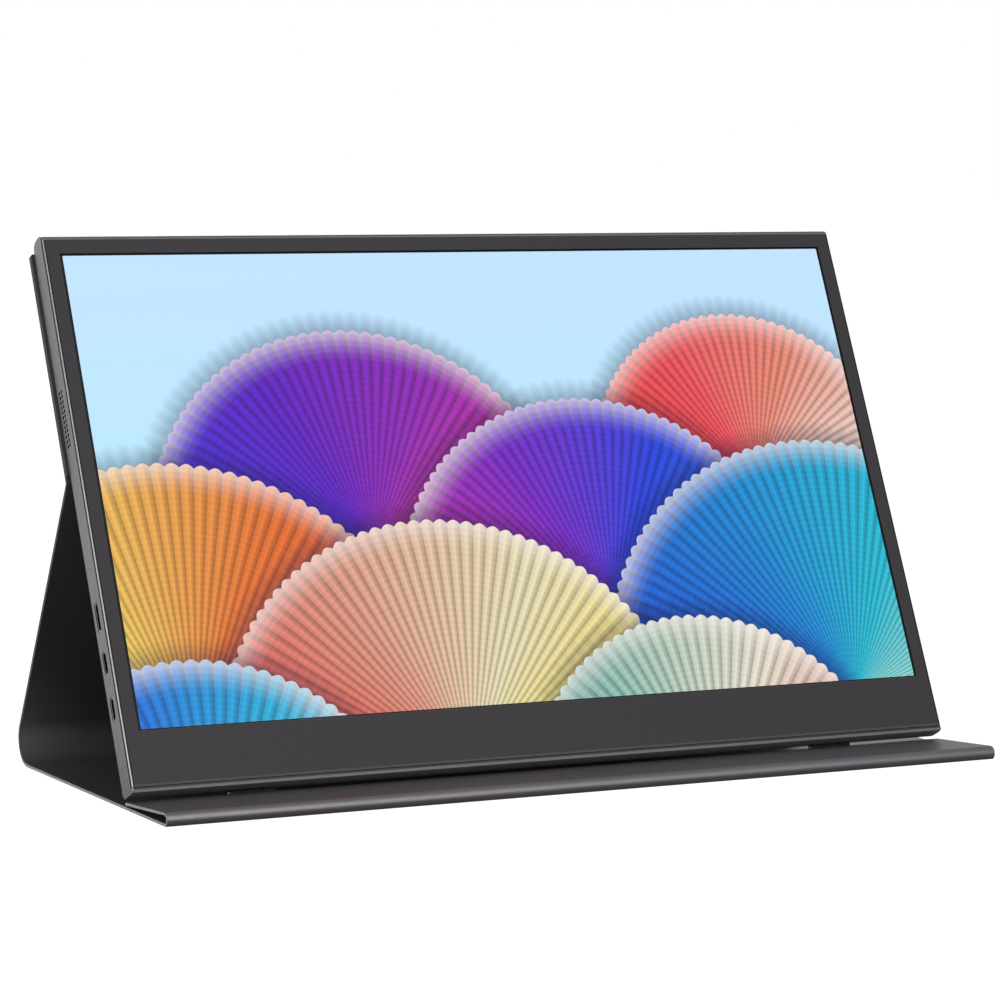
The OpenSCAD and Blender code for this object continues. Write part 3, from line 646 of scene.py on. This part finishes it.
# Each fan: its middle, in millimetres from the middle of the screen, its outer radius, how many
# pleats make a full turn and how far they are turned in degrees, and its colours from left to right
FANS = (
    (
        ((118, -8), 74, 96, 2),
        ((0.9, 0.05, 0.02), (0.95, 0.09, 0.12), (0.9, 0.28, 0.2), (0.93, 0.75, 0.66)),
    ),
    (
        ((-62, -30), 92, 104, 0),
        ((0.05, 0.02, 0.75), (0.12, 0.01, 0.6), (0.3, 0.02, 0.5), (0.75, 0.04, 0.3)),
    ),
    (
        ((38, -62), 92, 110, 1),
        ((0.55, 0.02, 0.35), (0.2, 0.02, 0.62), (0.02, 0.06, 0.8), (0.02, 0.2, 0.8)),
    ),
    (
        ((-150, -104), 112, 116, 3),
        ((0.8, 0.72, 0.62), (0.9, 0.6, 0.12), (0.85, 0.18, 0.03), (0.7, 0.02, 0.02)),
    ),
    (
        ((142, -104), 112, 120, 0),
        ((0.01, 0.06, 0.7), (0.01, 0.25, 0.72), (0.02, 0.55, 0.72), (0.3, 0.75, 0.7)),
    ),
    (
        ((-38, -124), 104, 112, 2),
        ((0.75, 0.03, 0.03), (0.8, 0.35, 0.25), (0.86, 0.78, 0.5), (0.95, 0.75, 0.05)),
    ),
    (
        ((70, -150), 84, 90, 1),
        ((0.03, 0.35, 0.4), (0.35, 0.6, 0.5), (0.86, 0.8, 0.66), (0.7, 0.12, 0.1)),
    ),
    (
        ((-150, -160), 88, 92, 0),
        ((0.05, 0.01, 0.5), (0.01, 0.12, 0.75), (0.02, 0.45, 0.75), (0.5, 0.8, 0.8)),
    ),
)
FAN_SCALLOP_MM = 1.6
FAN_SHADOW_MM = 9
FAN_RIM_MM = 14
FAN_RIM_COLOUR = (0.97, 0.9, 0.86)
FAN_SHADOW_COLOUR = (0.0, 0.0, 0.04)
# How light one pleat is, from its first edge over its ridge to its last
PLEAT_SHADES = ((0, (0.42,) * 3), (0.46, (0.8,) * 3), (0.5, (1, 1, 1)), (1, (0.74,) * 3))
LIT_CORNER_MM = 0.5
LIT_SHIFT_MM = 0.3


def paper_fan(finish, under, across, up, fan):
    """Lays one pleated fan, and its soft shadow, over the picture so far."""
    (middle, radius, pleats, turn), colours = fan
    right = finish.calc("SUBTRACT", across, middle[0])
    rise = finish.calc("SUBTRACT", up, middle[1])
    distance = finish.distance(right, rise)
    angle = finish.calc("ARCTAN2", rise, right)
    steps = finish.calc("MULTIPLY", angle, pleats / math.tau)
    steps = finish.calc("ADD", steps, turn * pleats / 360)
    fold = finish.calc("PINGPONG", steps, 0.5)
    scallop = finish.calc("SINE", finish.calc("MULTIPLY", fold, math.pi))
    scallop = finish.calc("MULTIPLY", scallop, FAN_SCALLOP_MM)
    inside = finish.calc("SUBTRACT", finish.calc("ADD", radius, scallop), distance)
    sweep = finish.calc("SUBTRACT", 1, finish.calc("DIVIDE", angle, math.pi))
    stops = [(0.06 + 0.88 * i / (len(colours) - 1), colour) for i, colour in enumerate(colours)]
    paint = finish.ramp(sweep, stops)
    side = finish.ramp(finish.calc("FRACT", steps), PLEAT_SHADES)
    paint = finish.mix(1.0, paint, side, "MULTIPLY")
    rim = finish.calc("POWER", finish.spread(inside, 1, 0, 0, FAN_RIM_MM), 2)
    paint = finish.mix(finish.calc("MULTIPLY", rim, 0.55), paint, FAN_RIM_COLOUR)
    bands = finish.calc("SINE", finish.calc("MULTIPLY", distance, 2.4))
    paint = finish.mix(finish.spread(bands, 0, 0.16, -1, 1), paint, (1, 1, 1), "SOFT_LIGHT")
    shade = finish.spread(inside, 0.0, 0.5, -FAN_SHADOW_MM, 0.0)
    under = finish.mix(shade, under, FAN_SHADOW_COLOUR)
    return finish.mix(finish.spread(inside, 0, 1, 0.0, 0.3), under, paint)


def lit_screen(settings):
    """A matte black glass that gives off the picture inside the lit area"""
    finish = Finish("lit_screen", (0.004, 0.004, 0.005), 0.4, specular=0.06)
    across, _, rise = finish.on_body()
    up = finish.calc("SUBTRACT", rise, SCREEN_MIDDLE_RISE / MM)
    sky = finish.spread(up, 0, 1, -SCREEN_H / MM / 2, SCREEN_H / MM / 2)
    picture = finish.mix(sky, SKY_LOW, SKY_HIGH)
    for fan in FANS:
        picture = paper_fan(finish, picture, across, up, fan)
    beyond = []
    lit_across = finish.calc("SUBTRACT", across, LIT_SHIFT_MM)
    for place, side in ((lit_across, SCREEN_W / MM - 2 * LIT_SHIFT_MM), (up, SCREEN_H / MM)):
        past = finish.calc("SUBTRACT", finish.calc("ABSOLUTE", place), side / 2 - LIT_CORNER_MM)
        past = finish.calc("MAXIMUM", past, 0)
        beyond.append(finish.calc("MULTIPLY", past, past))
    inside = finish.calc("LESS_THAN", finish.calc("ADD", *beyond), LIT_CORNER_MM**2)
    finish.put("Emission Color", finish.mix(inside, (0, 0, 0), picture))
    finish.put("Emission Strength", settings.screen_brightness)
    finish.material.cycles.emission_sampling = "NONE"
    return finish.material


# ---- Cover: a station is an outer and an inner point of the side view, as (y, z) ----


def heading(angle):
    return Vector((math.cos(angle), math.sin(angle)))


def straight(start, direction, inward, length, ends, ramp=1.2 * MM):
    """Stations along a flat panel, whose thickness goes from the soft sheet's to its own and back.

    ends is (thickness at the start, thickness of the panel, thickness at the end).
    """
    first, full, last = ends
    marks = [(0, first)]
    if first != full:
        marks += [(ramp, first), (2 * ramp, full)]
    if last != full:
        marks += [(length - 2 * ramp, full), (length - ramp, last)]
    marks.append((length, last))
    return [(start + direction * s, start + direction * s + inward * t) for s, t in marks]


def turning(centre, outer, inner, from_angles, to_angle, steps):
    """Stations round a fold. outer and inner are radii, and from_angles are where each starts."""
    stations = []
    for i in range(steps + 1):
        pair = []
        for radius, start in zip((outer, inner), from_angles):
            pair.append(centre + radius * heading(start + (to_angle - start) * i / steps))
        stations.append(tuple(pair))
    return stations


def flat(point):
    return Vector((point.y, point.z))


# How far the lip's stretch runs on past its fold, and over what length its board thickens there
LIP_SEAM = 3 * MM
LIP_RAMP = 0.8 * MM
DYE_START = 3.5 * MM
# The share of the leg that is made with the base, the rest being made with the upper flap
LEG_SPLIT = 0.55


def base_and_leg_stations(steps):
    """From just behind the lip, along the table, round the rear bend and half way up the leg."""
    seam = Vector((LIP.y + LIP_SEAM, 0))
    base = straight(seam, heading(0), heading(math.pi / 2), BEND.y - seam.x, (SOFT_T,) * 3)
    quarter = (-math.pi / 2,) * 2
    bend = turning(flat(BEND), BEND.z, BEND.z - SOFT_T, quarter, LEAN, steps)
    start = flat(BEND) + BEND.z * heading(LEAN)
    length = LEG_SPLIT * (flat(CREASE) - start).length
    ends = (SOFT_T, LEG_T, LEG_T)
    leg = straight(start, heading(math.pi / 2 + LEAN), -heading(LEAN), length, ends)
    return base + bend[1:] + leg[1:]


def leg_and_upper_flap_stations(steps):
    """From half way up the leg, over the middle crease and up the monitor's back."""
    foot = flat(BEND) + BEND.z * heading(LEAN)
    crease = flat(CREASE)
    start = foot.lerp(crease, LEG_SPLIT)
    trim = CREASE_R * math.tan((LEAN + TILT) / 2)
    up_leg = heading(math.pi / 2 + LEAN)
    up_flap = heading(math.pi / 2 - TILT)
    length = (crease - start).length - trim
    leg = straight(start, up_leg, -heading(LEAN), length, (LEG_T, LEG_T, SOFT_T))
    centre = crease - trim * up_leg + CREASE_R * heading(LEAN)
    turned = (math.pi + LEAN,) * 2
    fold = turning(
        centre, CREASE_R, CREASE_R + SOFT_T, turned, math.pi - TILT, max(6, steps // 3)
    )
    top = crease + trim * up_flap
    ends = (SOFT_T, UPPER_FLAP_T, UPPER_FLAP_T)
    flap = straight(top, up_flap, heading(math.pi - TILT), UPPER_FLAP_LEN - trim, ends)
    return leg + fold[1:-1] + flap


def lip_stations(steps):
    """From the base's seam round the lip, flat where it stands, to just behind the lip on top."""
    seam = Vector((LIP.y + LIP_SEAM, 0))
    inner_r = LIP_R - SOFT_T
    foot = straight(seam, heading(math.pi), heading(math.pi / 2), LIP_SEAM, (SOFT_T,) * 3)
    angles = (
        math.pi + math.asin(LIP.z / LIP_R),
        math.pi + math.asin((LIP.z - SOFT_T) / inner_r),
    )
    top = math.pi / 2 - SLOPE
    curl = turning(flat(LIP), LIP_R, inner_r, angles, top, steps)
    end = flat(LIP) + LIP_R * heading(top)
    ends = (SOFT_T, FRONT_FLAP_T, FRONT_FLAP_T)
    over = straight(end, heading(-SLOPE), -heading(top), LIP_SEAM, ends, LIP_RAMP)
    return foot + curl + over[1:]


def front_flap_stations(steps):
    top = math.pi / 2 - SLOPE
    start = flat(LIP) + LIP_R * heading(top) + LIP_SEAM * heading(-SLOPE)
    length = FRONT_FLAP_LEN - LIP_SEAM
    return straight(start, heading(-SLOPE), -heading(top), length, (FRONT_FLAP_T,) * 3)


def layer(stations, near, far):
    """The stations of one layer.

    near and far are depths below the outer face, or from the inner one if they are negative.
    """
    pairs = []
    for outer, inner in stations:
        thickness = (inner - outer).length
        depths = [depth if depth >= 0 else thickness + depth for depth in (near, far)]
        pairs.append(tuple(outer.lerp(inner, min(1, depth / thickness)) for depth in depths))
    return pairs


def swept_layer(name, stations, width):
    """A layer of the cover: its side view extruded rung by rung, then across the width."""
    bpy.ops.mesh.primitive_plane_add(size=1)
    piece = bpy.context.object
    piece.name = name
    mesh = open_mesh(piece)
    mesh.verts.ensure_lookup_table()
    for vert in mesh.verts[2:]:
        vert.select_set(True)
    bpy.ops.mesh.delete(type="VERT")
    mesh = bmesh.from_edit_mesh(piece.data)
    left = -width / 2
    places = [[Vector((left, *point)) for point in station] for station in stations]
    rung = list(mesh.verts)
    for vert, place in zip(rung, places[0]):
        vert.co = place
        vert.select_set(True)
    mesh.select_flush(True)
    for before, after in zip(places, places[1:]):
        bpy.ops.mesh.extrude_region_move()
        mesh = bmesh.from_edit_mesh(piece.data)
        for vert in [v for v in mesh.verts if v.select]:
            nearest = 0 if (vert.co - before[0]).length < (vert.co - before[1]).length else 1
            vert.co = after[nearest]
    bpy.ops.mesh.select_all(action="SELECT")
    bpy.ops.mesh.extrude_region_move(TRANSFORM_OT_translate={"value": (width, 0, 0)})
    close_mesh(COVER_EDGE_DEGREES)
    return piece


def round_free_corners(piece, width, radius):
    """Rounds the two corners at the far end of the upper flap, in its own plane."""
    top = max(vert.co.z for vert in open_mesh(piece).verts)

    def at_corner(edge):
        first, last = (vert.co for vert in edge.verts)
        middle = (first + last) / 2
        at_side = abs(abs(middle.x) - width / 2) < 0.01 * MM
        return at_side and abs(first.x - last.x) < 0.001 * MM and middle.z > top - TOP_END

    pick(piece, "EDGE", at_corner)
    bpy.ops.mesh.bevel(offset=radius, segments=6, affect="EDGES")
    close_mesh(COVER_EDGE_DEGREES)


# The layers as they show at a cut edge: name, near and far depth, how far in the ends lie, and slot
LAYERS = (
    ("skin", 0, SKIN_EDGE, 0, "skin"),
    ("board", SKIN_EDGE, -LINING_EDGE, 0.05 * MM, "stiffener"),
    ("lining", -LINING_EDGE, 1, 0.02 * MM, "lining"),
)
EDGE_TRIM = 0.03 * MM
# Each stretch: its stations, the bodies it rides on, and the panels and the folds it stands for
STRETCHES = {
    "lip": (lip_stations, ("base", "front_flap"), (), ("lip_fold",)),
    "front_flap": (front_flap_stations, ("front_flap",), ("front_flap",), ()),
    "base_and_leg": (base_and_leg_stations, ("base", "leg"), ("base",), ("rear_bend",)),
    "leg_and_upper_flap": (
        leg_and_upper_flap_stations,
        ("leg", "upper_flap"),
        ("leg", "upper_flap"),
        ("middle_crease",),
    ),
}


def is_dyed(face):
    """Past the base's rear edge, on the bend and the leg"""
    place = face.calc_center_median()
    return place.y > BEND.y + DYE_START or place.z > 1.5 * SOFT_T


def trim_edges(piece, width, seams):
    """A fine bevel along the layer's own edges, but not where it meets the next stretch."""
    edge_angle = math.radians(COVER_EDGE_DEGREES)

    def on_rung(vert, rung):
        place = Vector((vert.co.y, vert.co.z))
        first, last = rung
        along = last - first
        share = (place - first).dot(along) / along.length_squared
        return -0.3 < share < 1.3 and (place - first - along * share).length < 0.005 * MM

    def own_edge(edge):
        if len(edge.link_faces) != 2 or edge.calc_face_angle(0) < edge_angle:
            return False
        return not any(all(on_rung(v, rung) for v in edge.verts) for rung in seams)

    open_mesh(piece)
    pick(piece, "EDGE", own_edge)
    bpy.ops.mesh.bevel(offset=width, segments=2, affect="EDGES")
    close_mesh(COVER_EDGE_DEGREES)


# ---- Operators ----


class MONITOR_OT_bezel(bpy.types.Operator):
    """Adds the frame round the screen, with a polished chamfer along its outer edge"""

    bl_idname = "monitor.bezel"
    bl_label = "Bezel"

    def execute(self, context):
        settings = context.scene.monitor_settings
        piece = edged_copy("front_bezel", "bezel_frame", 0.08 * MM)
        seat(piece, "monitor", ["front_bezel"], bezel_paint(settings))
        piece.data.materials.append(rim_metal(settings))
        piece.data.materials.append(strip_metal(settings))

        def chamfer(face):
            place, normal = in_body(face)
            slanted = CHAMFER_SLANT[0] < normal.y < CHAMFER_SLANT[1]
            return slanted and BODY_W / 2 - abs(place.x) < CHAMFER_REACH

        def faces_up(face):
            return in_body(face)[1].z > 0.3

        paint_faces(piece, 1, chamfer)
        # Faces that face up get the darkened metal, a painted shade
        paint_faces(piece, 2, faces_up)
        return {"FINISHED"}


class MONITOR_OT_housing(bpy.types.Operator):
    """Adds the metal housing, with softened edges"""

    bl_idname = "monitor.housing"
    bl_label = "Housing"

    def execute(self, context):
        settings = context.scene.monitor_settings
        piece = edged_copy("rear_housing", "housing_shell", settings.edge_bevel)
        seat(piece, "monitor", ["rear_housing"], housing_metal(settings))
        piece.data.materials.append(shadow_paint())
        piece.data.materials.append(strip_metal(settings))

        def bottom_strip(face):
            place, normal = in_body(face)
            facing = normal.y < -0.5 or normal.z < -0.75
            return place.z < STRIP_RISE and facing and abs(normal.x) < 0.5

        def bore(face):
            place, normal = in_body(face)
            depth = BODY_W / 2 - abs(place.x)
            inside = OPENINGS_FRONT < place.y < OPENINGS_BACK
            return inside and 0.004 * MM < depth < SIDE_WALL and abs(normal.x) < 0.97

        # The walls of the openings get the painted shade
        paint_faces(piece, 1, bore)
        # The strip below the bezel gets the darkened metal, a painted shade
        paint_faces(piece, 2, bottom_strip)
        return {"FINISHED"}


class MONITOR_OT_keys(bpy.types.Operator):
    """Adds the power button and the menu rocker on the right side"""

    bl_idname = "monitor.keys"
    bl_label = "Keys"

    def execute(self, context):
        finish = Finish("key_metal", (0.1, 0.095, 0.098), 0.35, 0.5)
        finish.tint(finish.noise(0.2 * MM, 3), 0.9, 1.12)
        for node, name in (("power_button", "power_key"), ("menu_rocker", "menu_key")):
            piece = edged_copy(node, name, 0.06 * MM)
            seat(piece, node, [node], finish.material)
        return {"FINISHED"}


class MONITOR_OT_sockets(bpy.types.Operator):
    """Adds the three sockets on the left side"""

    bl_idname = "monitor.sockets"
    bl_label = "Sockets"

    def execute(self, context):
        metal = socket_metal()
        for node, name in (
            ("hdmi_socket", "small_video_socket"),
            ("usb_c_upper", "upper_oval_socket"),
            ("usb_c_lower", "lower_oval_socket"),
        ):
            piece = edged_copy(node, name, 0.05 * MM)
            seat(piece, "monitor", [node], metal)
        return {"FINISHED"}


class MONITOR_OT_hinges(bpy.types.Operator):
    """Adds the two knuckle hinges, with domed pins"""

    bl_idname = "monitor.hinges"
    bl_label = "Hinges"

    def execute(self, context):
        lacquer = hinge_lacquer()
        chrome = turned_steel("pin_chrome", (0.82, 0.81, 0.82), 0.12)
        for side in ("left", "right"):
            for part, body in (("leaf", "front_flap"), ("bracket", "monitor")):
                node = f"hinge_{part}_{side}"
                piece = edged_copy(node, f"{part}_{side}", 0.1 * MM, 3)
                seat(piece, body, [node], lacquer)
            low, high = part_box(f"hinge_pin_{side}")
            radius = (high.z - low.z) / 2
            bpy.ops.mesh.primitive_cylinder_add(
                vertices=48,
                radius=radius,
                depth=high.x - low.x,
                location=(low + high) / 2,
                rotation=(0, math.pi / 2, 0),
            )
            pin = bpy.context.object
            pin.name = f"pin_{side}"
            set_down(pin)
            open_mesh(pin)
            pick(pin, "EDGE", lambda edge: abs(edge.verts[0].co.x - edge.verts[1].co.x) < 0.01 * MM)
            bpy.ops.mesh.bevel(offset=0.7 * radius, segments=5, affect="EDGES")
            close_mesh()
            seat(pin, "front_flap", [f"hinge_pin_{side}"], chrome)
        return {"FINISHED"}


class MONITOR_OT_cover(bpy.types.Operator):
    """Adds the folding cover: base, lip, front flap, leg and upper flap, each in three layers"""

    bl_idname = "monitor.cover"
    bl_label = "Cover"

    def execute(self, context):
        settings = context.scene.cover_settings
        skin = cover_skin(settings)
        lining = cover_lining(settings)
        cut = pressed_board("cut_board", settings.cut_edge_colour)
        dyed = pressed_board("dyed_board", settings.dyed_edge_colour)
        for stretch, (stations_of, bodies, panels, folds) in STRETCHES.items():
            stations = stations_of(settings.fold_steps)
            upper = stretch == "leg_and_upper_flap"
            board = dyed if upper else cut
            free_end = upper or stretch == "front_flap"
            seams = stations[:1] if free_end else [stations[0], stations[-1]]
            for part, near, far, inset, slot in LAYERS:
                width = COVER_W - 2 * inset
                piece = swept_layer(f"{stretch}_{part}_layer", layer(stations, near, far), width)
                if upper:
                    round_free_corners(piece, width, FLAP_CORNER_R)
                trim_edges(piece, EDGE_TRIM, seams)
                material = {"skin": skin, "board": board, "lining": lining}[part]
                nodes = [f"{panel}_{part}" for panel in panels]
                if part == "skin":
                    nodes += folds
                seat(piece, bodies[0] if len(bodies) == 1 else None, nodes, material)
                if stretch == "base_and_leg" and part == "board":
                    piece.data.materials.append(dyed)
                    paint_faces(piece, 1, is_dyed)
                if len(bodies) == 2:
                    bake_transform(piece)
        return {"FINISHED"}


class MONITOR_OT_screen(bpy.types.Operator):
    """Gives the glass its picture"""

    bl_idname = "monitor.screen"
    bl_label = "Screen"

    def execute(self, context):
        glass = frame["nodes"]["lcd_panel"]
        seat(glass, None, (), lit_screen(context.scene.monitor_settings))
        return {"FINISHED"}


class MONITOR_OT_insides(bpy.types.Operator):
    """Gives the boards, films, switches, speakers and magnets inside their finishes"""

    bl_idname = "monitor.insides"
    bl_label = "Insides"

    def execute(self, context):
        steel = turned_steel("rolled_steel", (0.45, 0.45, 0.46), 0.38)
        screw = turned_steel("screw_steel", (0.5, 0.5, 0.5), 0.3, (1, 1, 1))
        plastic = moulded("speaker_plastic", (0.03, 0.03, 0.032), 0.55)
        film = moulded("white_film", (0.78, 0.78, 0.78), 0.6, 0.4 * MM)
        guide = moulded("clear_guide", (0.72, 0.82, 0.84), 0.12, 2 * MM)
        amber = moulded("amber_ribbon", (0.55, 0.3, 0.05), 0.4, 0.5 * MM)
        board = circuit_green()
        nickel = turned_steel("magnet_nickel", (0.55, 0.53, 0.5), 0.25, (1, 1, 1))
        for slot, material, nodes in (
            ("steel", steel, ("panel_frame", "steel_strips")),
            ("screws", screw, ("board_screws", "bracket_screws")),
            ("speaker", plastic, ("speaker_left", "speaker_right")),
            ("speaker", plastic, ("headphone_jack", "key_switches")),
            ("films", film, ("optical_films", "led_bar", "side_ribbon")),
            ("light_guide", guide, ("light_guide",)),
            ("cable", amber, ("panel_cable",)),
            ("circuit_board", board, ("main_board", "side_board")),
            ("magnet", nickel, ("flap_magnets",)),
        ):
            for node in nodes:
                seat(frame["nodes"][node], None, (), material)
        return {"FINISHED"}


CAMERA_PLACE = (-0.67552, -1.337963, 0.241836)
CAMERA_TURN_DEGREES = (84.825388, -0.154401, -26.618526)
# Name, place, the point it is aimed at, width and height, power in watts and spread in degrees
AREA_LIGHTS = (
    ("tall_softbox", (0.58, -2.4, 1.35), (0, 0, 0.05), (0.9, 3.0), 83, 180),
    ("left_softbox", (-2.6, -0.6, 0.6), (0, 0, 0.1), (1.6, 1.2), 37, 180),
    ("low_left_strip", (-1.3, -0.75, 0.14), (-0.21, 0.155, 0.005), (0.12, 0.06), 0.11, 4),
)
# Levels of the surround, from the horizon and all below it to straight above
SURROUND = ((0.0, 1.0), (0.1, 0.95), (0.26, 0.5), (0.62, 0.6), (1.0, 0.55))


class MONITOR_OT_stage(bpy.types.Operator):
    """Adds the floor, the light and the camera"""

    bl_idname = "monitor.stage"
    bl_label = "Stage"

    def execute(self, context):
        settings = context.scene.stage_settings
        bpy.ops.object.camera_add(
            location=CAMERA_PLACE,
            rotation=[math.radians(angle) for angle in CAMERA_TURN_DEGREES],
        )
        camera = bpy.context.object
        camera.name = "camera"
        camera.data.lens = settings.lens
        camera.data.clip_start = 0.01
        camera.data.clip_end = 50
        context.scene.camera = camera
        for name, place, aim, size, power, spread in AREA_LIGHTS:
            bpy.ops.object.light_add(type="AREA", location=place)
            light = bpy.context.object
            light.name = name
            light.rotation_euler = (Vector(aim) - Vector(place)).to_track_quat("-Z", "Y").to_euler()
            light.data.shape = "RECTANGLE"
            light.data.size, light.data.size_y = size
            light.data.energy = power
            light.data.spread = math.radians(spread)
            light.visible_camera = False
        bpy.ops.mesh.primitive_plane_add(size=40, location=(0, 0, -0.01 * MM))
        floor = bpy.context.object
        floor.name = "floor"
        floor.data.materials.append(white_floor())
        context.scene.view_settings.view_transform = "Standard"
        light_all_round(settings)
        return {"FINISHED"}


def white_floor():
    """White paper that stays white in the picture and keeps a faint shadow"""
    finish = Finish("white_floor", (0.2, 0.2, 0.2), 0.9, specular=0.0)
    path = finish.add("ShaderNodeLightPath")
    seen = finish.calc("MULTIPLY", path["Is Camera Ray"], 0.95)
    behind = finish.spread(finish.split(finish.place)[1], 0.03, 0.6, -0.1, 0.3)
    mirrored = finish.calc("MULTIPLY", path["Is Glossy Ray"], behind)
    finish.put("Emission Color", (1, 1, 1, 1))
    finish.put("Emission Strength", finish.calc("ADD", seen, mirrored))
    return finish.material


def light_all_round(settings):
    """An even surround: white at the horizon, dimmer overhead"""
    world = bpy.context.scene.world or bpy.data.worlds.new("surround")
    bpy.context.scene.world = world
    world.use_nodes = True
    world.node_tree.nodes.clear()

    def add(kind, *values):
        return add_node(world.node_tree, kind, enumerate(values))

    place = add("ShaderNodeTexCoord")
    split = add("ShaderNodeSeparateXYZ", place.outputs["Generated"])
    fall = add("ShaderNodeValToRGB", split.outputs["Z"])
    levels = fall.color_ramp.elements
    for position, level in SURROUND:
        levels.new(position).color = (level, level, level, 1)
    levels.remove(levels[0])
    levels.remove(levels[-1])
    path = add("ShaderNodeLightPath")
    white = add("ShaderNodeBackground", (1, 1, 1, 1), 1)
    mirrored = add("ShaderNodeBackground", fall.outputs[0], 1)
    even = add("ShaderNodeBackground", fall.outputs[0], settings.surroundings)
    lit = add(
        "ShaderNodeMixShader", path.outputs["Is Glossy Ray"], even.outputs[0], mirrored.outputs[0]
    )
    seen = add(
        "ShaderNodeMixShader", path.outputs["Is Camera Ray"], lit.outputs[0], white.outputs[0]
    )
    add("ShaderNodeOutputWorld", seen.outputs[0])


class MONITOR_PT_panel(bpy.types.Panel):
    """The monitor's settings and its operators"""

    bl_label = "Monitor"
    bl_idname = "MONITOR_PT_panel"
    bl_space_type = "VIEW_3D"
    bl_region_type = "UI"
    bl_category = "Monitor"

    def draw(self, context):
        for group in SETTINGS:
            settings = getattr(context.scene, group)
            box = self.layout.box()
            for name in settings.__annotations__:
                box.prop(settings, name)
        for operator in OPERATORS:
            self.layout.operator(operator.bl_idname)


SETTINGS = {
    "cover_settings": CoverSettings,
    "monitor_settings": MonitorSettings,
    "stage_settings": StageSettings,
}
OPERATORS = (
    MONITOR_OT_bezel,
    MONITOR_OT_housing,
    MONITOR_OT_keys,
    MONITOR_OT_sockets,
    MONITOR_OT_hinges,
    MONITOR_OT_cover,
    MONITOR_OT_screen,
    MONITOR_OT_insides,
    MONITOR_OT_stage,
)
CLASSES = (*SETTINGS.values(), *OPERATORS, MONITOR_PT_panel)


def register():
    for kind in CLASSES:
        bpy.utils.register_class(kind)
    for name, kind in SETTINGS.items():
        setattr(bpy.types.Scene, name, PointerProperty(type=kind))


def unregister():
    for name in SETTINGS:
        delattr(bpy.types.Scene, name)
    for kind in reversed(CLASSES):
        bpy.utils.unregister_class(kind)


def main():
    register()
    bpy.ops.monitor.bezel()
    bpy.ops.monitor.housing()
    bpy.ops.monitor.keys()
    bpy.ops.monitor.sockets()
    bpy.ops.monitor.hinges()
    bpy.ops.monitor.cover()
    bpy.ops.monitor.screen()
    bpy.ops.monitor.insides()
    bpy.ops.monitor.stage()


if __name__ == "__main__":
    main()
